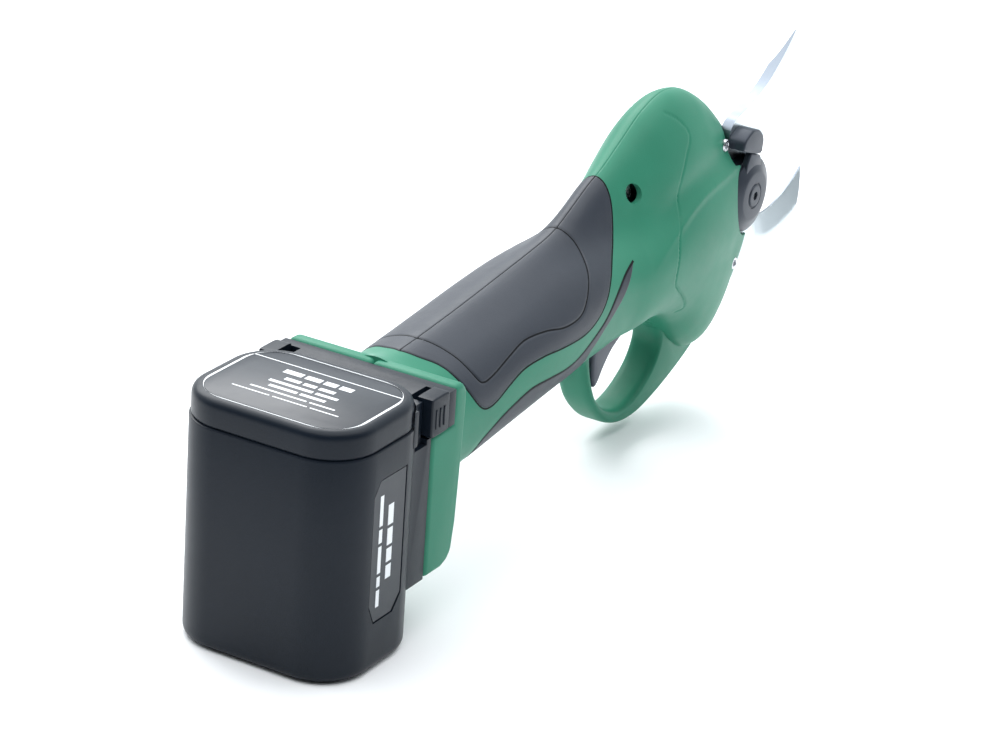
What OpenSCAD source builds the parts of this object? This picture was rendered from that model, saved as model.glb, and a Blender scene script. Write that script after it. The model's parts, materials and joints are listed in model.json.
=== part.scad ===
// Battery electric pruner: clamshell body, geared bypass blades and a lift-off battery.
// +X runs from the battery to the blades, +Y to the tool's left, +Z up.
// The origin is the centre of the battery's foot, so the tool stands on Z = 0.

/* [Battery] */
// Length of the battery case along the tool
case_l = 44; // [43.5:0.5:45]
// Width of the battery case
case_w = 57.5; // [57:0.5:58.5]
// Height of the battery case below its lid
case_h = 65.7; // [65.2:0.1:66.5]
// Height of the battery lid
lid_h = 8; // [7.5:0.5:9]
// Radius of the battery's upright corners
case_corner = 15; // [14:0.5:15.5]

/* [Blades] */
// Distance of the blade pivot ahead of the origin
pivot_x = 229.5; // [229:0.5:230]
// Height of the blade pivot above the foot
pivot_z = 67.5; // [67:0.5:68]
// Radius of the pivot bolt
bolt_r = 5; // [4.5:0.1:5.2]
// Thickness of each blade
blade_t = 3.5; // [3:0.1:3.5]
// Radius of the pivot cap at its base
cap_r = 12.2; // [11.5:0.1:12.4]

/* [Body] */
// Upward slope of the drive line from the battery to the pivot, in degrees
drive_rise = 6.5; // [6:0.5:7]
// Wall thickness of the housing
wall = 2.8; // [2.6:0.1:3]
// Thickness of the soft grip moulded into the housing
grip_t = 1.4; // [1.2:0.1:1.5]
// Width of the trigger guard
guard_w = 11; // [10:0.5:12]

/* [Drive] */
// Radius of the motor can
motor_r = 13.5; // [13:0.1:13.8]
// Length of the motor can
motor_l = 42; // [38:1:44]

/* [Hidden] */
$fn = 48;

green = [0.35, 0.63, 0.53];
slate = [0.17, 0.18, 0.21];
rubber = [0.2, 0.21, 0.24];
silver = [0.78, 0.8, 0.82];
steel = [0.6, 0.61, 0.63];
dark_steel = [0.27, 0.28, 0.3];
copper = [0.72, 0.42, 0.2];
board_green = [0.05, 0.3, 0.18];

gap = 0.3;                 // clearance between plastic parts that slide
fit = 0.05;                // running clearance round a pin or shaft

// Layers across the tool at the blades, from right to left
blade_gap = 0.05;
counter_y = -14.9;         // outer face of the counter blade
moving_y = counter_y + blade_t + blade_gap;
moving_top = moving_y + blade_t;
stop_y = -17.3;            // outer face of the blade stop
drive_y = 1.5;             // plane of the drive line

// Housing rows: x, centre height, half width, rise, drop, roundness up, roundness down, crest half width, crest rise
rows = [
    [36, 48.5, 23, 21.5, 23, 2.3, 2.3, 10, 21],
    [44, 48.5, 21.8, 19.5, 20, 2.2, 2.2, 10, 19],
    [53, 49.5, 21.2, 18.8, 20, 2.1, 2.2, 10, 18],
    [68, 51, 21, 18.8, 20, 2.1, 2.2, 10, 18],
    [83, 53, 21, 18.3, 20.5, 2.1, 2.2, 10, 18],
    [103, 55.5, 21, 18.5, 21, 2, 2.2, 10, 18],
    [118, 57, 20.6, 18.5, 21.5, 2, 2.2, 9, 19],
    [130, 58, 20, 18, 21.5, 2, 2.2, 9, 21],
    [140, 58.5, 19.5, 17.5, 21, 2, 2.3, 9.5, 25],
    [150, 58.5, 19.5, 17.5, 20, 2, 2.3, 10, 30],
    [160, 58.5, 20.5, 18, 19.3, 2, 2.4, 12, 34.5],
    [170, 59.5, 21, 19, 19.4, 2, 2.5, 14.5, 39],
    [181, 60.5, 21, 20, 22.3, 2.1, 2.6, 16.5, 44],
    [192, 60.5, 20.5, 20.5, 28.2, 2.2, 2.6, 17.5, 47],
    [203, 60.5, 19.5, 21, 38, 2.3, 2.6, 17.5, 46],
    [212, 60.5, 18.5, 21.5, 43, 2.5, 2.6, 17, 42],
    [219, 61.5, 17.6, 21, 41, 2.6, 2.6, 16.3, 36],
    [225, 62.5, 17, 20, 32, 2.7, 2.6, 15.5, 29],
    [230, 63.5, 16.5, 18, 23, 2.7, 2.6, 14, 22],
];
// Angle of the soft grip's lower edge, seen along the tool, at each x
grip_edge = [
    [36, 20], [50, 60], [54, 35], [57, 18], [61, 7], [68, 5], [75, 9], [83, 12], [94, 9], [105, 3],
    [118, -1], [126, 3], [132, 13], [138, 26], [148, 53], [154, 75], [156, 84], [175, 55], [230, 45],
];
// Angle of the finger pad's upper edge at each x
pad_edge = [
    [36, -40], [60, -30], [69, -14], [79, -13], [94, -18], [114, -29], [123, -17], [131, -5],
    [141, 13], [151, 30], [175, 15], [200, -15], [230, -20],
];
row_steps = 2;             // rings drawn per housing row
grip_cols = 8;
strip_cols = 4;
pad_cols = 8;
cols = grip_cols + strip_cols + pad_cols;
rings = (len(rows) - 1) * row_steps;
grip_rings = [4, 18];      // first and last ring under the soft grip
pad_rings = [6, 16];       // first and last ring under the finger pad
pad_t = 1.2;
edge_t = 0.2;              // how deep a soft skin's edge is let in
crest_blend = 6;

// ---- Housing surface ----

function lobe(a, w, h, n) = pow(pow(abs(cos(a)) / w, n) + pow(abs(sin(a)) / h, n), -1 / n);
function blended(a, b, k) = let (h = max(k - abs(a - b), 0) / k) max(a, b) + h * h * k / 4;
// Distance from a row's centre to the housing's outside at angle a, 90 being up
function reach(r, a) = a >= 0
    ? blended(lobe(a, r[2], r[3], r[5]), lobe(a, r[7], r[8], 2), crest_blend)
    : blended(lobe(a, r[2], r[4], r[6]), lobe(a, r[7], 12, 2), crest_blend);
// Catmull-Rom curve through the rows
function row_at(t) =
    let (n = len(rows) - 1, i = min(floor(t), n - 1), u = t - i,
         a = rows[max(i - 1, 0)], b = rows[i], c = rows[i + 1], d = rows[min(i + 2, n)])
    0.5 * (2 * b + (c - a) * u + (2 * a - 5 * b + 4 * c - d) * u * u + (3 * b - a - 3 * c + d) * u * u * u);
ring_rows = [for (i = [0:rings]) row_at(i / row_steps)];
// Column angles fall on the edges of the soft skins
function column_angle(x, j) =
    let (g = lookup(x, grip_edge), p = lookup(x, pad_edge))
    j <= grip_cols ? 90 - (90 - g) * j / grip_cols
    : j <= grip_cols + strip_cols ? g - (g - p) * (j - grip_cols) / strip_cols
    : p - (90 + p) * (j - grip_cols - strip_cols) / pad_cols;
function inside(v, range) = v > range[0] && v < range[1];
function on_edge(v, range) = v == range[0] || v == range[1];
function within(v, range) = inside(v, range) || on_edge(v, range);
function grip_depth(i, j) = j > grip_cols || !within(i, grip_rings) ? 0
    : j == grip_cols || on_edge(i, grip_rings) ? edge_t : grip_t;
function pad_depth(i, j) =
    let (first = grip_cols + strip_cols)
    j < first || !within(i, pad_rings) ? 0 : j == first || on_edge(i, pad_rings) ? edge_t : pad_t;
// A point of ring i and column j, sunk by the given depth, on one side of the tool
function skin_point(i, j, depth, side) =
    let (r = ring_rows[i], a = column_angle(r[0], j), d = reach(r, a) - depth)
    [r[0], j == 0 || j == cols ? 0 : side * d * cos(a), r[1] + d * sin(a)];

// Triangles over a grid of points numbered row by row, flipped where the side needs it
function grid_faces(first, ni, nj, flip) = [
    for (i = [0:ni - 2]) for (j = [0:nj - 2])
        let (a = first + i * nj + j, b = a + nj, c = b + 1, d = a + 1)
        each flip ? [[a, c, b], [a, d, c]] : [[a, b, c], [a, c, d]]
];
function strip_faces(a, b, flip) = [
    for (k = [0:len(a) - 2])
        each flip ? [[a[k], b[k + 1], b[k]], [a[k], a[k + 1], b[k + 1]]]
            : [[a[k], b[k], b[k + 1]], [a[k], b[k + 1], a[k + 1]]]
];

// Half of the body shell as one closed skin: outside, inside and the rim that joins them
module shell_half(side) {
    flip = side > 0;
    nj = cols + 1;
    last = rings - 1;      // the inside stops one ring short, which leaves a front wall
    outer = [for (i = [0:rings]) for (j = [0:cols]) skin_point(i, j, grip_depth(i, j) + pad_depth(i, j), side)];
    inner = [for (i = [0:last]) for (j = [0:cols]) skin_point(i, j, wall, side)];
    n_out = len(outer);
    n_in = len(inner);
    outer_hub = n_out + n_in;
    inner_hub = outer_hub + 1;
    hubs = [[ring_rows[rings][0], 0, ring_rows[rings][1]], [ring_rows[last][0], 0, ring_rows[last][1]]];
    out_end = [for (j = [0:cols]) rings * nj + j];
    in_end = [for (j = [0:cols]) n_out + last * nj + j];
    top_out = [for (i = [0:last]) i * nj];
    top_in = [for (i = [0:last]) n_out + i * nj];
    low_out = [for (i = [0:last]) i * nj + cols];
    low_in = [for (i = [0:last]) n_out + i * nj + cols];
    polyhedron(points = concat(outer, inner, hubs), faces = concat(
        grid_faces(0, rings + 1, nj, flip),
        grid_faces(n_out, last + 1, nj, !flip),
        strip_faces([for (j = [0:cols]) j], [for (j = [0:cols]) n_out + j], !flip),
        strip_faces(top_out, top_in, flip),
        strip_faces(low_out, low_in, !flip),
        [for (j = [0:cols - 1]) flip ? [out_end[j], out_end[j + 1], outer_hub] : [out_end[j + 1], out_end[j], outer_hub]],
        [for (j = [0:cols - 1]) flip ? [in_end[j + 1], in_end[j], inner_hub] : [in_end[j], in_end[j + 1], inner_hub]],
        flip
            ? [[last * nj, rings * nj, in_end[0]], [rings * nj, outer_hub, in_end[0]], [outer_hub, inner_hub, in_end[0]],
               [outer_hub, out_end[cols], inner_hub], [out_end[cols], in_end[cols], inner_hub],
               [out_end[cols], last * nj + cols, in_end[cols]]]
            : [[rings * nj, last * nj, in_end[0]], [outer_hub, rings * nj, in_end[0]], [inner_hub, outer_hub, in_end[0]],
               [out_end[cols], outer_hub, inner_hub], [in_end[cols], out_end[cols], inner_hub],
               [last * nj + cols, out_end[cols], in_end[cols]]]
    ));
}

// A soft skin that fills its recess in the shell, over rings ri and columns rj
module soft_skin(side, ri, rj, pad) {
    flip = side > 0;
    ni = ri[1] - ri[0] + 1;
    nj = rj[1] - rj[0] + 1;
    outer = [for (i = [ri[0]:ri[1]]) for (j = [rj[0]:rj[1]]) skin_point(i, j, 0, side)];
    inner = [for (i = [ri[0]:ri[1]]) for (j = [rj[0]:rj[1]])
        skin_point(i, j, pad ? pad_depth(i, j) : grip_depth(i, j), side)];
    n = len(outer);
    side_a = [for (i = [0:ni - 1]) i * nj];
    side_b = [for (i = [0:ni - 1]) i * nj + nj - 1];
    end_a = [for (j = [0:nj - 1]) j];
    end_b = [for (j = [0:nj - 1]) (ni - 1) * nj + j];
    polyhedron(points = concat(outer, inner), faces = concat(
        grid_faces(0, ni, nj, flip),
        grid_faces(n, ni, nj, !flip),
        strip_faces(end_a, [for (v = end_a) v + n], !flip),
        strip_faces(end_b, [for (v = end_b) v + n], flip),
        strip_faces(side_a, [for (v = side_a) v + n], flip),
        strip_faces(side_b, [for (v = side_b) v + n], !flip)
    ));
}

// ---- Shared helpers ----

// Extrudes an X-Z outline across the tool from y1 to y2
module across(y1, y2) {
    translate([0, y2, 0]) rotate([90, 0, 0]) linear_extrude(y2 - y1) children();
}
module bar_y(x, z, r, y1, y2) {
    translate([x, y2, z]) rotate([90, 0, 0]) cylinder(r = r, h = y2 - y1);
}
module at_pivot() {
    translate([pivot_x, 0, pivot_z]) children();
}
// Drive line: its own x runs along the motor towards the pivot, which is at x = 0
module on_drive() {
    translate([pivot_x, drive_y, pivot_z]) rotate([0, -drive_rise, 0]) children();
}
module rod_x(r, x1, x2) {
    translate([x1, 0, 0]) rotate([0, 90, 0]) cylinder(r = r, h = x2 - x1);
}
module tube_x(r_out, r_in, x1, x2) {
    difference() {
        rod_x(r_out, x1, x2);
        rod_x(r_in, x1 - 1, x2 + 1);
    }
}
module rounded_rect(l, w, r) {
    square([l - 2 * r, w], center = true);
    square([l, w - 2 * r], center = true);
    for (sx = [-1, 1]) for (sy = [-1, 1]) translate([sx * (l / 2 - r), sy * (w / 2 - r)]) circle(r);
}
module block(x, y, z) {
    translate([x[0], y[0], z[0]]) cube([x[1] - x[0], y[1] - y[0], z[1] - z[0]]);
}
function polar(r, a) = [r * cos(a), r * sin(a)];
// Straight-flanked gear outline: teeth, pitch radius, height above and below it, tooth share of the pitch
function gear_outline(n, r, above, below, share) = [
    for (i = [0:n - 1])
        let (a = i * 360 / n, half = share * 180 / n, lean = 20)
        each [
            polar(r - below, a - half - below * tan(lean) / r * 57.3),
            polar(r + above, a - half + above * tan(lean) / r * 57.3),
            polar(r + above, a + half - above * tan(lean) / r * 57.3),
            polar(r - below, a + half + below * tan(lean) / r * 57.3),
        ]
];

// ---- Housing ----

dock_x = [22.6, 38];
dock_front = 33.3;         // rear face of the dock's front wall
dock_y = 27.6;
dock_z = [16.7, 70.6];
dock_rail_z = 59.6;        // top of the dock's side walls
guard_outer = [
    [143, 38], [147, 33], [150, 25], [153.5, 18], [158.8, 12], [165.6, 7], [174, 4], [184, 3.8], [194, 6],
    [204, 9], [214, 13], [223.5, 17.5], [224.5, 27],
];
guard_inner = [
    [212, 20.5], [203, 25], [192, 33], [195.5, 30], [197, 24], [193.5, 17.5], [187, 12.7], [180, 9.7],
    [173, 9], [165.4, 11.8], [158.3, 17.1], [153.9, 24.2], [151.4, 32], [150.3, 39],
];
head_screw = [163.6, 84.8];
// Screws put in from the left: x, z and how far their bosses reach out to the shell
left_screws = [[46, 35, 14.4], [46, 62, 14.4], [120.5, 52.5, 18.4]];
// Upper and lower small screws at the front edge of the right shell
front_screw_spots = [[216.6, 86.6, -11.5], [221.7, 46.6, -15.6]];

module dock_half(side) {
    y_in = 24.6;
    difference() {
        across(side < 0 ? -dock_y : 0, side < 0 ? 0 : dock_y) polygon([
            [dock_x[0], dock_z[0]], [dock_x[1] - 6, dock_z[0]], [dock_x[1] - 1.5, dock_z[0] + 4],
            [dock_x[1], dock_z[0] + 12], [dock_x[1] + 1, 44], [dock_x[1] + 2, dock_z[1] - 3],
            [dock_x[1], dock_z[1]], [dock_front, dock_z[1]], [dock_front, dock_rail_z], [dock_x[0], dock_rail_z],
        ]);
        block([26, dock_front], [-y_in, y_in], [19, 80]);
        block([20, 27], [-22.8, 22.8], [19, 80]);
        // opening for the terminal block
        block([dock_front - 1, dock_x[1] + 4], [-11, 11], [42, 58]);
        // hollow towards the handle
        block([dock_front + 2.5, dock_x[1] + 4], [-16, 16], [34, 62]);
    }
}
module guard_half(side) {
    across(side < 0 ? -guard_w / 2 : 0, side < 0 ? 0 : guard_w / 2) polygon(concat(guard_outer, guard_inner));
}
module half_bar(x, z, r, side, near, far) {
    bar_y(x, z, r, side < 0 ? -far : near, side < 0 ? -near : far);
}
module housing_half(side) {
    difference() {
        union() {
            shell_half(side);
            dock_half(side);
            guard_half(side);
            for (s = left_screws) half_bar(s[0], s[1], 3.2, side, 0, s[2]);
            half_bar(head_screw[0], head_screw[1], 3.2, side, 0, 8);
            half_bar(trigger_x, trigger_z, 3.6, side, 8, 16);
        }
        // the trigger swings up into this slot
        block([154.5, 190.5], [-4.6, 4.6], [30, 46.5]);
        for (s = left_screws) half_bar(s[0], s[1], 1.5, side, -1, side < 0 ? 11 : s[2] + 1);
        bar_y(head_screw[0], head_screw[1], 1.5, -8, 7.4);
        bar_y(trigger_x, trigger_z, 2, -11.5, 11.5);
        // the frame's boss and the pivot bolt come out through the front
        at_pivot() bar_y(0, 0, 9.6, -7.4, 14.5);
    }
}
module housing_right() {
    color(green) difference() {
        housing_half(-1);
        bar_y(head_screw[0], head_screw[1], 3, -30, -5);
        // room for the blades and clearance round the pivot cap and the blade stop
        across(counter_y - 0.2, -7.3) polygon([[192, 72], [192, 45], [198, 41], [209, 36], [232, 36], [232, 72]]);
        block([219.3, 232], [counter_y - 0.2, -7.3], [70, 98]);
        at_pivot() bar_y(0, 0, 13.6, counter_y - 0.2, -7.3);
        at_pivot() bar_y(0, 0, cap_r + 0.8, -30, counter_y + 1);
        at_pivot() across(-30, -7.3) polygon([[-10.6, 25], [-10.6, 16], [-1, 12], [10, 10], [10, 40], [-6, 40]]);
        for (s = front_screw_spots) {
            bar_y(s[0], s[1], 1.1, s[2] - 2, s[2] + 6);
            bar_y(s[0], s[1], 2.1, -30, s[2]);
        }
    }
}
module housing_left() {
    color(green) difference() {
        housing_half(1);
        for (s = left_screws) bar_y(s[0], s[1], 3, s[2] - 1, 30);
    }
}
module grip_right() {
    color(rubber) soft_skin(-1, grip_rings, [0, grip_cols], false);
}
module grip_left() {
    color(rubber) soft_skin(1, grip_rings, [0, grip_cols], false);
}
module finger_pad_right() {
    color(rubber) soft_skin(-1, pad_rings, [grip_cols + strip_cols, cols], true);
}
module finger_pad_left() {
    color(rubber) soft_skin(1, pad_rings, [grip_cols + strip_cols, cols], true);
}
module housing_screws() {
    color(steel) {
        for (s = left_screws) {
            bar_y(s[0], s[1], 2.8, s[2] - 1, s[2] + 0.6);
            bar_y(s[0], s[1], 1.45, -10.5, s[2]);
        }
        bar_y(head_screw[0], head_screw[1], 2.8, -6.6, -5.02);
        bar_y(head_screw[0], head_screw[1], 1.45, -6, 7);
    }
}
module front_screws() {
    color(silver) for (s = front_screw_spots) difference() {
        union() {
            bar_y(s[0], s[1], 2, s[2] - 1.2, s[2] - 0.02);
            bar_y(s[0], s[1], 1, s[2] - 1, s[2] + 3);
        }
        bar_y(s[0], s[1], 0.9, s[2] - 2, s[2] - 0.5);
    }
}

// ---- Trigger ----

trigger_x = 185;           // trigger pin
trigger_z = 43.7;
trigger_w = 8.4;
trigger_side = [
    [181, 42.4], [174, 42.2], [160, 40.2], [156.2, 38.4], [155.4, 31], [155.9, 25], [156.4, 22.8], [157.6, 21.4],
    [160, 23], [162.6, 26.6], [167, 30.8], [174, 34.4], [182, 37], [188, 39.6], [188.2, 43.7],
    [185, 46.9], [181.8, 45],
];
module trigger() {
    color(slate) difference() {
        across(-trigger_w / 2, trigger_w / 2) union() {
            polygon(trigger_side);
            translate([trigger_x, trigger_z]) circle(3.2);
        }
        bar_y(trigger_x, trigger_z, 2, -10, 10);
        // pocket for the magnet in the left flank
        bar_y(172, 38.6, 1.5, trigger_w / 2 - 2.2, 10);
    }
}
module trigger_magnet() {
    color(silver) bar_y(172, 38.6, 1.45, trigger_w / 2 - 2.1, trigger_w / 2 - 0.1);
}
module trigger_pin() {
    color(steel) bar_y(trigger_x, trigger_z, 2 - fit, -11.4, 11.4);
}
// Torsion spring: its coils sit round the pin and one leg leans on the housing
module trigger_spring() {
    color(steel) {
        for (k = [0:2]) translate([trigger_x, 5.4 + k * 0.75, trigger_z]) rotate([90, 0, 0])
            rotate_extrude() translate([3, 0]) circle(0.36);
        block([trigger_x - 3.25, trigger_x - 2.75], [5.2, 5.6], [trigger_z, trigger_z + 3.6]);
    }
}
module hall_sensor_board() {
    color(board_green) block([164, 179], [5.8, 7], [44, 46.4]);
    color(slate) block([170.5, 174], [4.9, 5.8], [44.2, 46.2]);
}

// ---- Motor and gearbox, along the drive line ----

gear_m = 0.45;             // tooth module of the planetary stage
sun_n = 12;
planet_n = 21;
ring_n = sun_n + 2 * planet_n;
sun_r = gear_m * sun_n / 2;
planet_r = gear_m * planet_n / 2;
ring_r = gear_m * ring_n / 2;
planet_orbit = sun_r + planet_r;
tooth_up = 0.75 * gear_m;
tooth_down = 1.1 * gear_m;
tooth_share = 0.42;
shaft_r = 1.5;
out_r = 3;
planet_pin_r = 1.2;
box_r = 15;
ring_out = 14;
motor_front = -54;
motor_back = motor_front - motor_l;
carrier_x = [-44, -41];
planet_x = [-50, -44.3];

module motor_can() {
    color(dark_steel) on_drive() difference() {
        rod_x(motor_r, motor_back, motor_front);
        rod_x(motor_r - 1.2, motor_back - 1, motor_front - 2);
        rod_x(3.5, motor_back, motor_front + 1);
    }
}
module motor_end_cap() {
    color(silver) on_drive() difference() {
        union() {
            rod_x(motor_r, motor_back - 2, motor_back);
            rod_x(motor_r - 1.25, motor_back, motor_back + 3);
            rod_x(5.5, motor_back - 4, motor_back);
        }
        rod_x(3.5, motor_back - 5, motor_back + 4);
    }
}
module stator_core() {
    color(steel) on_drive() difference() {
        rod_x(motor_r - 1.25, motor_back + 8, motor_front - 7);
        rod_x(6.4, motor_back + 7, motor_front - 6);
        for (k = [0:5]) rotate([k * 60, 0, 0]) block([motor_back + 7, motor_front - 6], [-2, 2], [7.4, 10.8]);
    }
}
module stator_windings() {
    color(copper) on_drive() for (k = [0:5]) rotate([k * 60, 0, 0])
        block([motor_back + 5, motor_front - 4], [-1.9, 1.9], [7.5, 10.7]);
}
module rotor_magnets() {
    color(dark_steel) on_drive() tube_x(6, shaft_r, motor_back + 9, motor_front - 8);
}
module rotor_shaft() {
    color(silver) on_drive() rod_x(shaft_r, motor_back - 3, -44.5);
}
module motor_bearings() {
    color(steel) on_drive() {
        tube_x(3.5, shaft_r + fit, motor_back - 3.5, motor_back - 0.5);
        tube_x(3.5, shaft_r + fit, motor_front - 2, motor_front);
    }
}
module sun_gear() {
    color(steel) on_drive() difference() {
        translate([planet_x[0], 0, 0]) rotate([0, 90, 0]) rotate(180) linear_extrude(planet_x[1] - planet_x[0])
            polygon(gear_outline(sun_n, sun_r, tooth_up, tooth_down, tooth_share));
        rod_x(shaft_r, -60, -40);
    }
}
module ring_gear() {
    color(steel) on_drive() translate([planet_x[0] - 1, 0, 0]) rotate([0, 90, 0]) rotate(180)
        linear_extrude(planet_x[1] - planet_x[0] + 1) difference() {
            circle(ring_out);
            polygon(gear_outline(ring_n, ring_r, tooth_down, tooth_up, 1 - tooth_share));
        }
}
// Planet at its turn round the drive line: 0 is at the top
module planet(turn) {
    color(silver) on_drive() rotate([turn, 0, 0]) translate([planet_x[0], 0, planet_orbit]) rotate([0, 90, 0])
        difference() {
            linear_extrude(planet_x[1] - planet_x[0])
                rotate(180) polygon(gear_outline(planet_n, planet_r, tooth_up, tooth_down, tooth_share));
            translate([0, 0, -1]) cylinder(r = planet_pin_r + fit, h = 10);
        }
}
module planet_gear_top() {
    planet(0);
}
module planet_gear_left() {
    planet(240);
}
module planet_gear_right() {
    planet(120);
}
module planet_carrier() {
    color(steel) on_drive() {
        rod_x(11.5, carrier_x[0], carrier_x[1]);
        rod_x(out_r, carrier_x[1], -16.5);
        for (k = [0:2]) rotate([k * 120, 0, 0]) translate([0, 0, planet_orbit])
            rod_x(planet_pin_r, planet_x[0] - 0.5, carrier_x[0]);
    }
}
module gearbox_housing() {
    color(silver) on_drive() difference() {
        rod_x(box_r, -53.9, -38.2);
        rod_x(ring_out, -55, -40.6);
        rod_x(6.5, -60, -30);
    }
    color(silver) on_drive() tube_x(ring_out, 4, -53.9, -52);
}
module output_bearing() {
    color(steel) on_drive() tube_x(6, out_r + fit, -35, -30);
}

// ---- Bevel drive to the blade ----

bevel_m = 1.25;
pinion_n = 10;
sector_n = 40;
pinion_r = bevel_m * pinion_n / 2;
sector_r = bevel_m * sector_n / 2;
bevel_face = 8;
bevel_up = 0.7 * bevel_m;
bevel_down = 1.05 * bevel_m;
bevel_share = 0.4;
sector_plate = [moving_top, -6.3];
sector_span = [168.5, 256.5];

module bevel_pinion() {
    shrink = (sector_r - bevel_face) / sector_r;
    color(steel) on_drive() difference() {
        union() {
            translate([-sector_r, 0, 0]) rotate([0, 90, 0]) rotate(90 + 180 / pinion_n)
                linear_extrude(bevel_face, scale = shrink)
                    polygon(gear_outline(pinion_n, pinion_r, bevel_up, bevel_down, bevel_share));
            rod_x(4.8, -28, -sector_r);
        }
        rod_x(out_r, -40, -10);
    }
}
// One crown tooth, narrowing in step with its distance from the pivot; its foot stands on the plate
module crown_tooth(a) {
    half = bevel_share * PI * bevel_m / 2;
    tip = half - bevel_up * tan(20);
    root = half + bevel_down * tan(20);
    foot = sector_plate[1] - drive_y - 0.3;
    profile = [[root, -bevel_down], [tip, bevel_up], [-tip, bevel_up], [-root, -bevel_down]];
    function corners(r) = let (s = r / sector_r) concat(
        [[-r, foot, root * s]],
        [for (p = profile) [-r, s * (p[1] - pinion_r), p[0] * s]],
        [[-r, foot, -root * s]]);
    rotate([0, a, 0]) polyhedron(
        points = concat(corners(sector_r), corners(sector_r - bevel_face)),
        faces = concat(
            [for (k = [1:4]) [0, k + 1, k]],
            [for (k = [1:4]) [6, k + 6, k + 7]],
            [for (k = [0:5]) let (n = (k + 1) % 6) each [[k, n + 6, k + 6], [k, n, n + 6]]]));
}
module sector_outline(r_in, r_out) {
    difference() {
        polygon(concat([[-3, -1]], [for (a = [sector_span[0]:4:sector_span[1]]) polar(r_out, a)]));
        circle(r_in);
    }
}
module drive_sector() {
    color(steel) at_pivot() difference() {
        union() {
            rotate([0, -drive_rise, 0]) across(sector_plate[0], sector_plate[1])
                sector_outline(8.6, sector_r + 0.5);
            rotate([0, -drive_rise, 0]) translate([0, drive_y, 0])
                for (k = [-1:8]) crown_tooth(-360 / sector_n * k);
        }
        for (s = rivet_spots) rotate([0, -drive_rise, 0]) bar_y(s[0], s[1], 1.6, -20, 0);
    }
}
rivet_spots = [polar(13, 190), polar(13, 238)];
module sector_rivets() {
    color(silver) at_pivot() rotate([0, -drive_rise, 0]) for (s = rivet_spots) {
        bar_y(s[0], s[1], 1.55, moving_y + 0.3, sector_plate[1]);
        bar_y(s[0], s[1], 2.3, sector_plate[1], sector_plate[1] + 0.8);
    }
}

// ---- Head: frame, blades and pivot ----

posts = [[-30, -20], [-12.5, -26.5]];
seat_boss = [-32.3, -3.7];  // the third blade screw goes into the bearing seat
post_r = 3.5;
plate_y = [9.3, 11.5];

module output_seat() {
    on_drive() difference() {
        union() {
            rod_x(13, -38.2, -35.4);
            rod_x(8.6, -35.4, -29.6);
        }
        rod_x(6, -36, -20);
        rod_x(4.5, -40, -20);
    }
}
module head_frame() {
    color(steel) difference() {
        union() {
            output_seat();
            at_pivot() {
                across(plate_y[0], plate_y[1]) union() {
                    polygon([[-38.5, 2], [-30, 8], [3, 8.5], [-2, -12], [-9, -30], [-15, -30],
                        [-32, -23.5], [-36.8, -12]]);
                    circle(9);
                }
                bar_y(0, 0, 8, moving_top + 0.1, plate_y[0]);
                for (p = posts) bar_y(p[0], p[1], post_r, counter_y + blade_t, plate_y[0]);
                bar_y(seat_boss[0], seat_boss[1], 2.9, counter_y + blade_t, -5.5);
                // rib from the bearing seat to the side plate
                rotate([0, -drive_rise, 0]) block([-38, -30], [7, plate_y[0]], [-5, 5]);
            }
        }
        at_pivot() bar_y(0, 0, bolt_r, -20, 20);
        at_pivot() for (p = posts) bar_y(p[0], p[1], 1.5, -20, 4);
        at_pivot() bar_y(seat_boss[0], seat_boss[1], 1.5, -20, -5.6);
        on_drive() rod_x(6, -35.4, -29);
    }
}
// Ground bevel beside the line from p to q: it leaves the edge at y_edge and reaches the flat
// at y_flat after the given width, which is negative where the blade lies right of the line
module grind(p, q, y_edge, y_flat, width) {
    run = q - p;
    rise = y_flat - y_edge;
    low = -0.2;
    high = 1.3;
    translate([p[0], 0, p[1]]) rotate([0, -atan2(run[1], run[0]), 0]) rotate([90, 0, 90])
        linear_extrude(norm(run)) polygon([
            [y_edge + low * rise, low * width], [y_edge + high * rise, high * width],
            [y_edge + high * rise, low * width],
        ]);
}
// Blade outlines are drawn from the pivot in the open position
tail_r = 17;               // the round tail under the drive sector
hub_r = 13;
moving_edge = concat(
    [for (a = [182.5:7:259.5]) polar(tail_r, a)],
    [for (a = [266:8:378]) polar(hub_r, a)],
    [
        [13.5, 11.5], [18.5, 18.5], [22, 24.5], [24.6, 30.5], [27, 36], [30.2, 41.5], [32.5, 46], [26.5, 40],
        [19.5, 34.9], [6.8, 29.1], [-6.4, 24.7], [-9.5, 20], [-9.3, 11], polar(hub_r, 166),
    ]);
module moving_blade() {
    color(silver) at_pivot() difference() {
        across(moving_y, moving_top) polygon(moving_edge);
        bar_y(0, 0, bolt_r + fit, moving_y - 1, moving_top + 1);
        grind([14.5, 10.9], [33.5, 45.5], moving_y + 0.4, moving_top, 6);
        for (s = rivet_spots) rotate([0, -drive_rise, 0]) bar_y(s[0], s[1], 1.6, -20, 0);
    }
}
counter_edge = [
    [9, -2], [12.5, -6], [11.7, -11], [17, -12.3], [22.5, -12.2], [28, -11.4], [33, -10], [39.5, -7.2], [45, -3.8],
    [41, -11.5], [35, -18.2], [28.5, -22], [21, -24.2], [12, -25], [3.7, -25], [-4, -25.5],
];
counter_root = [
    [0, 11], [-6, 9], [-24, 3], [-35.6, 0.4], [-36.3, -8], [-34, -21], [-30, -24.5], [-14, -30.3],
    [-9, -27.5], [3, -25], [6, -14],
];
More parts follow.
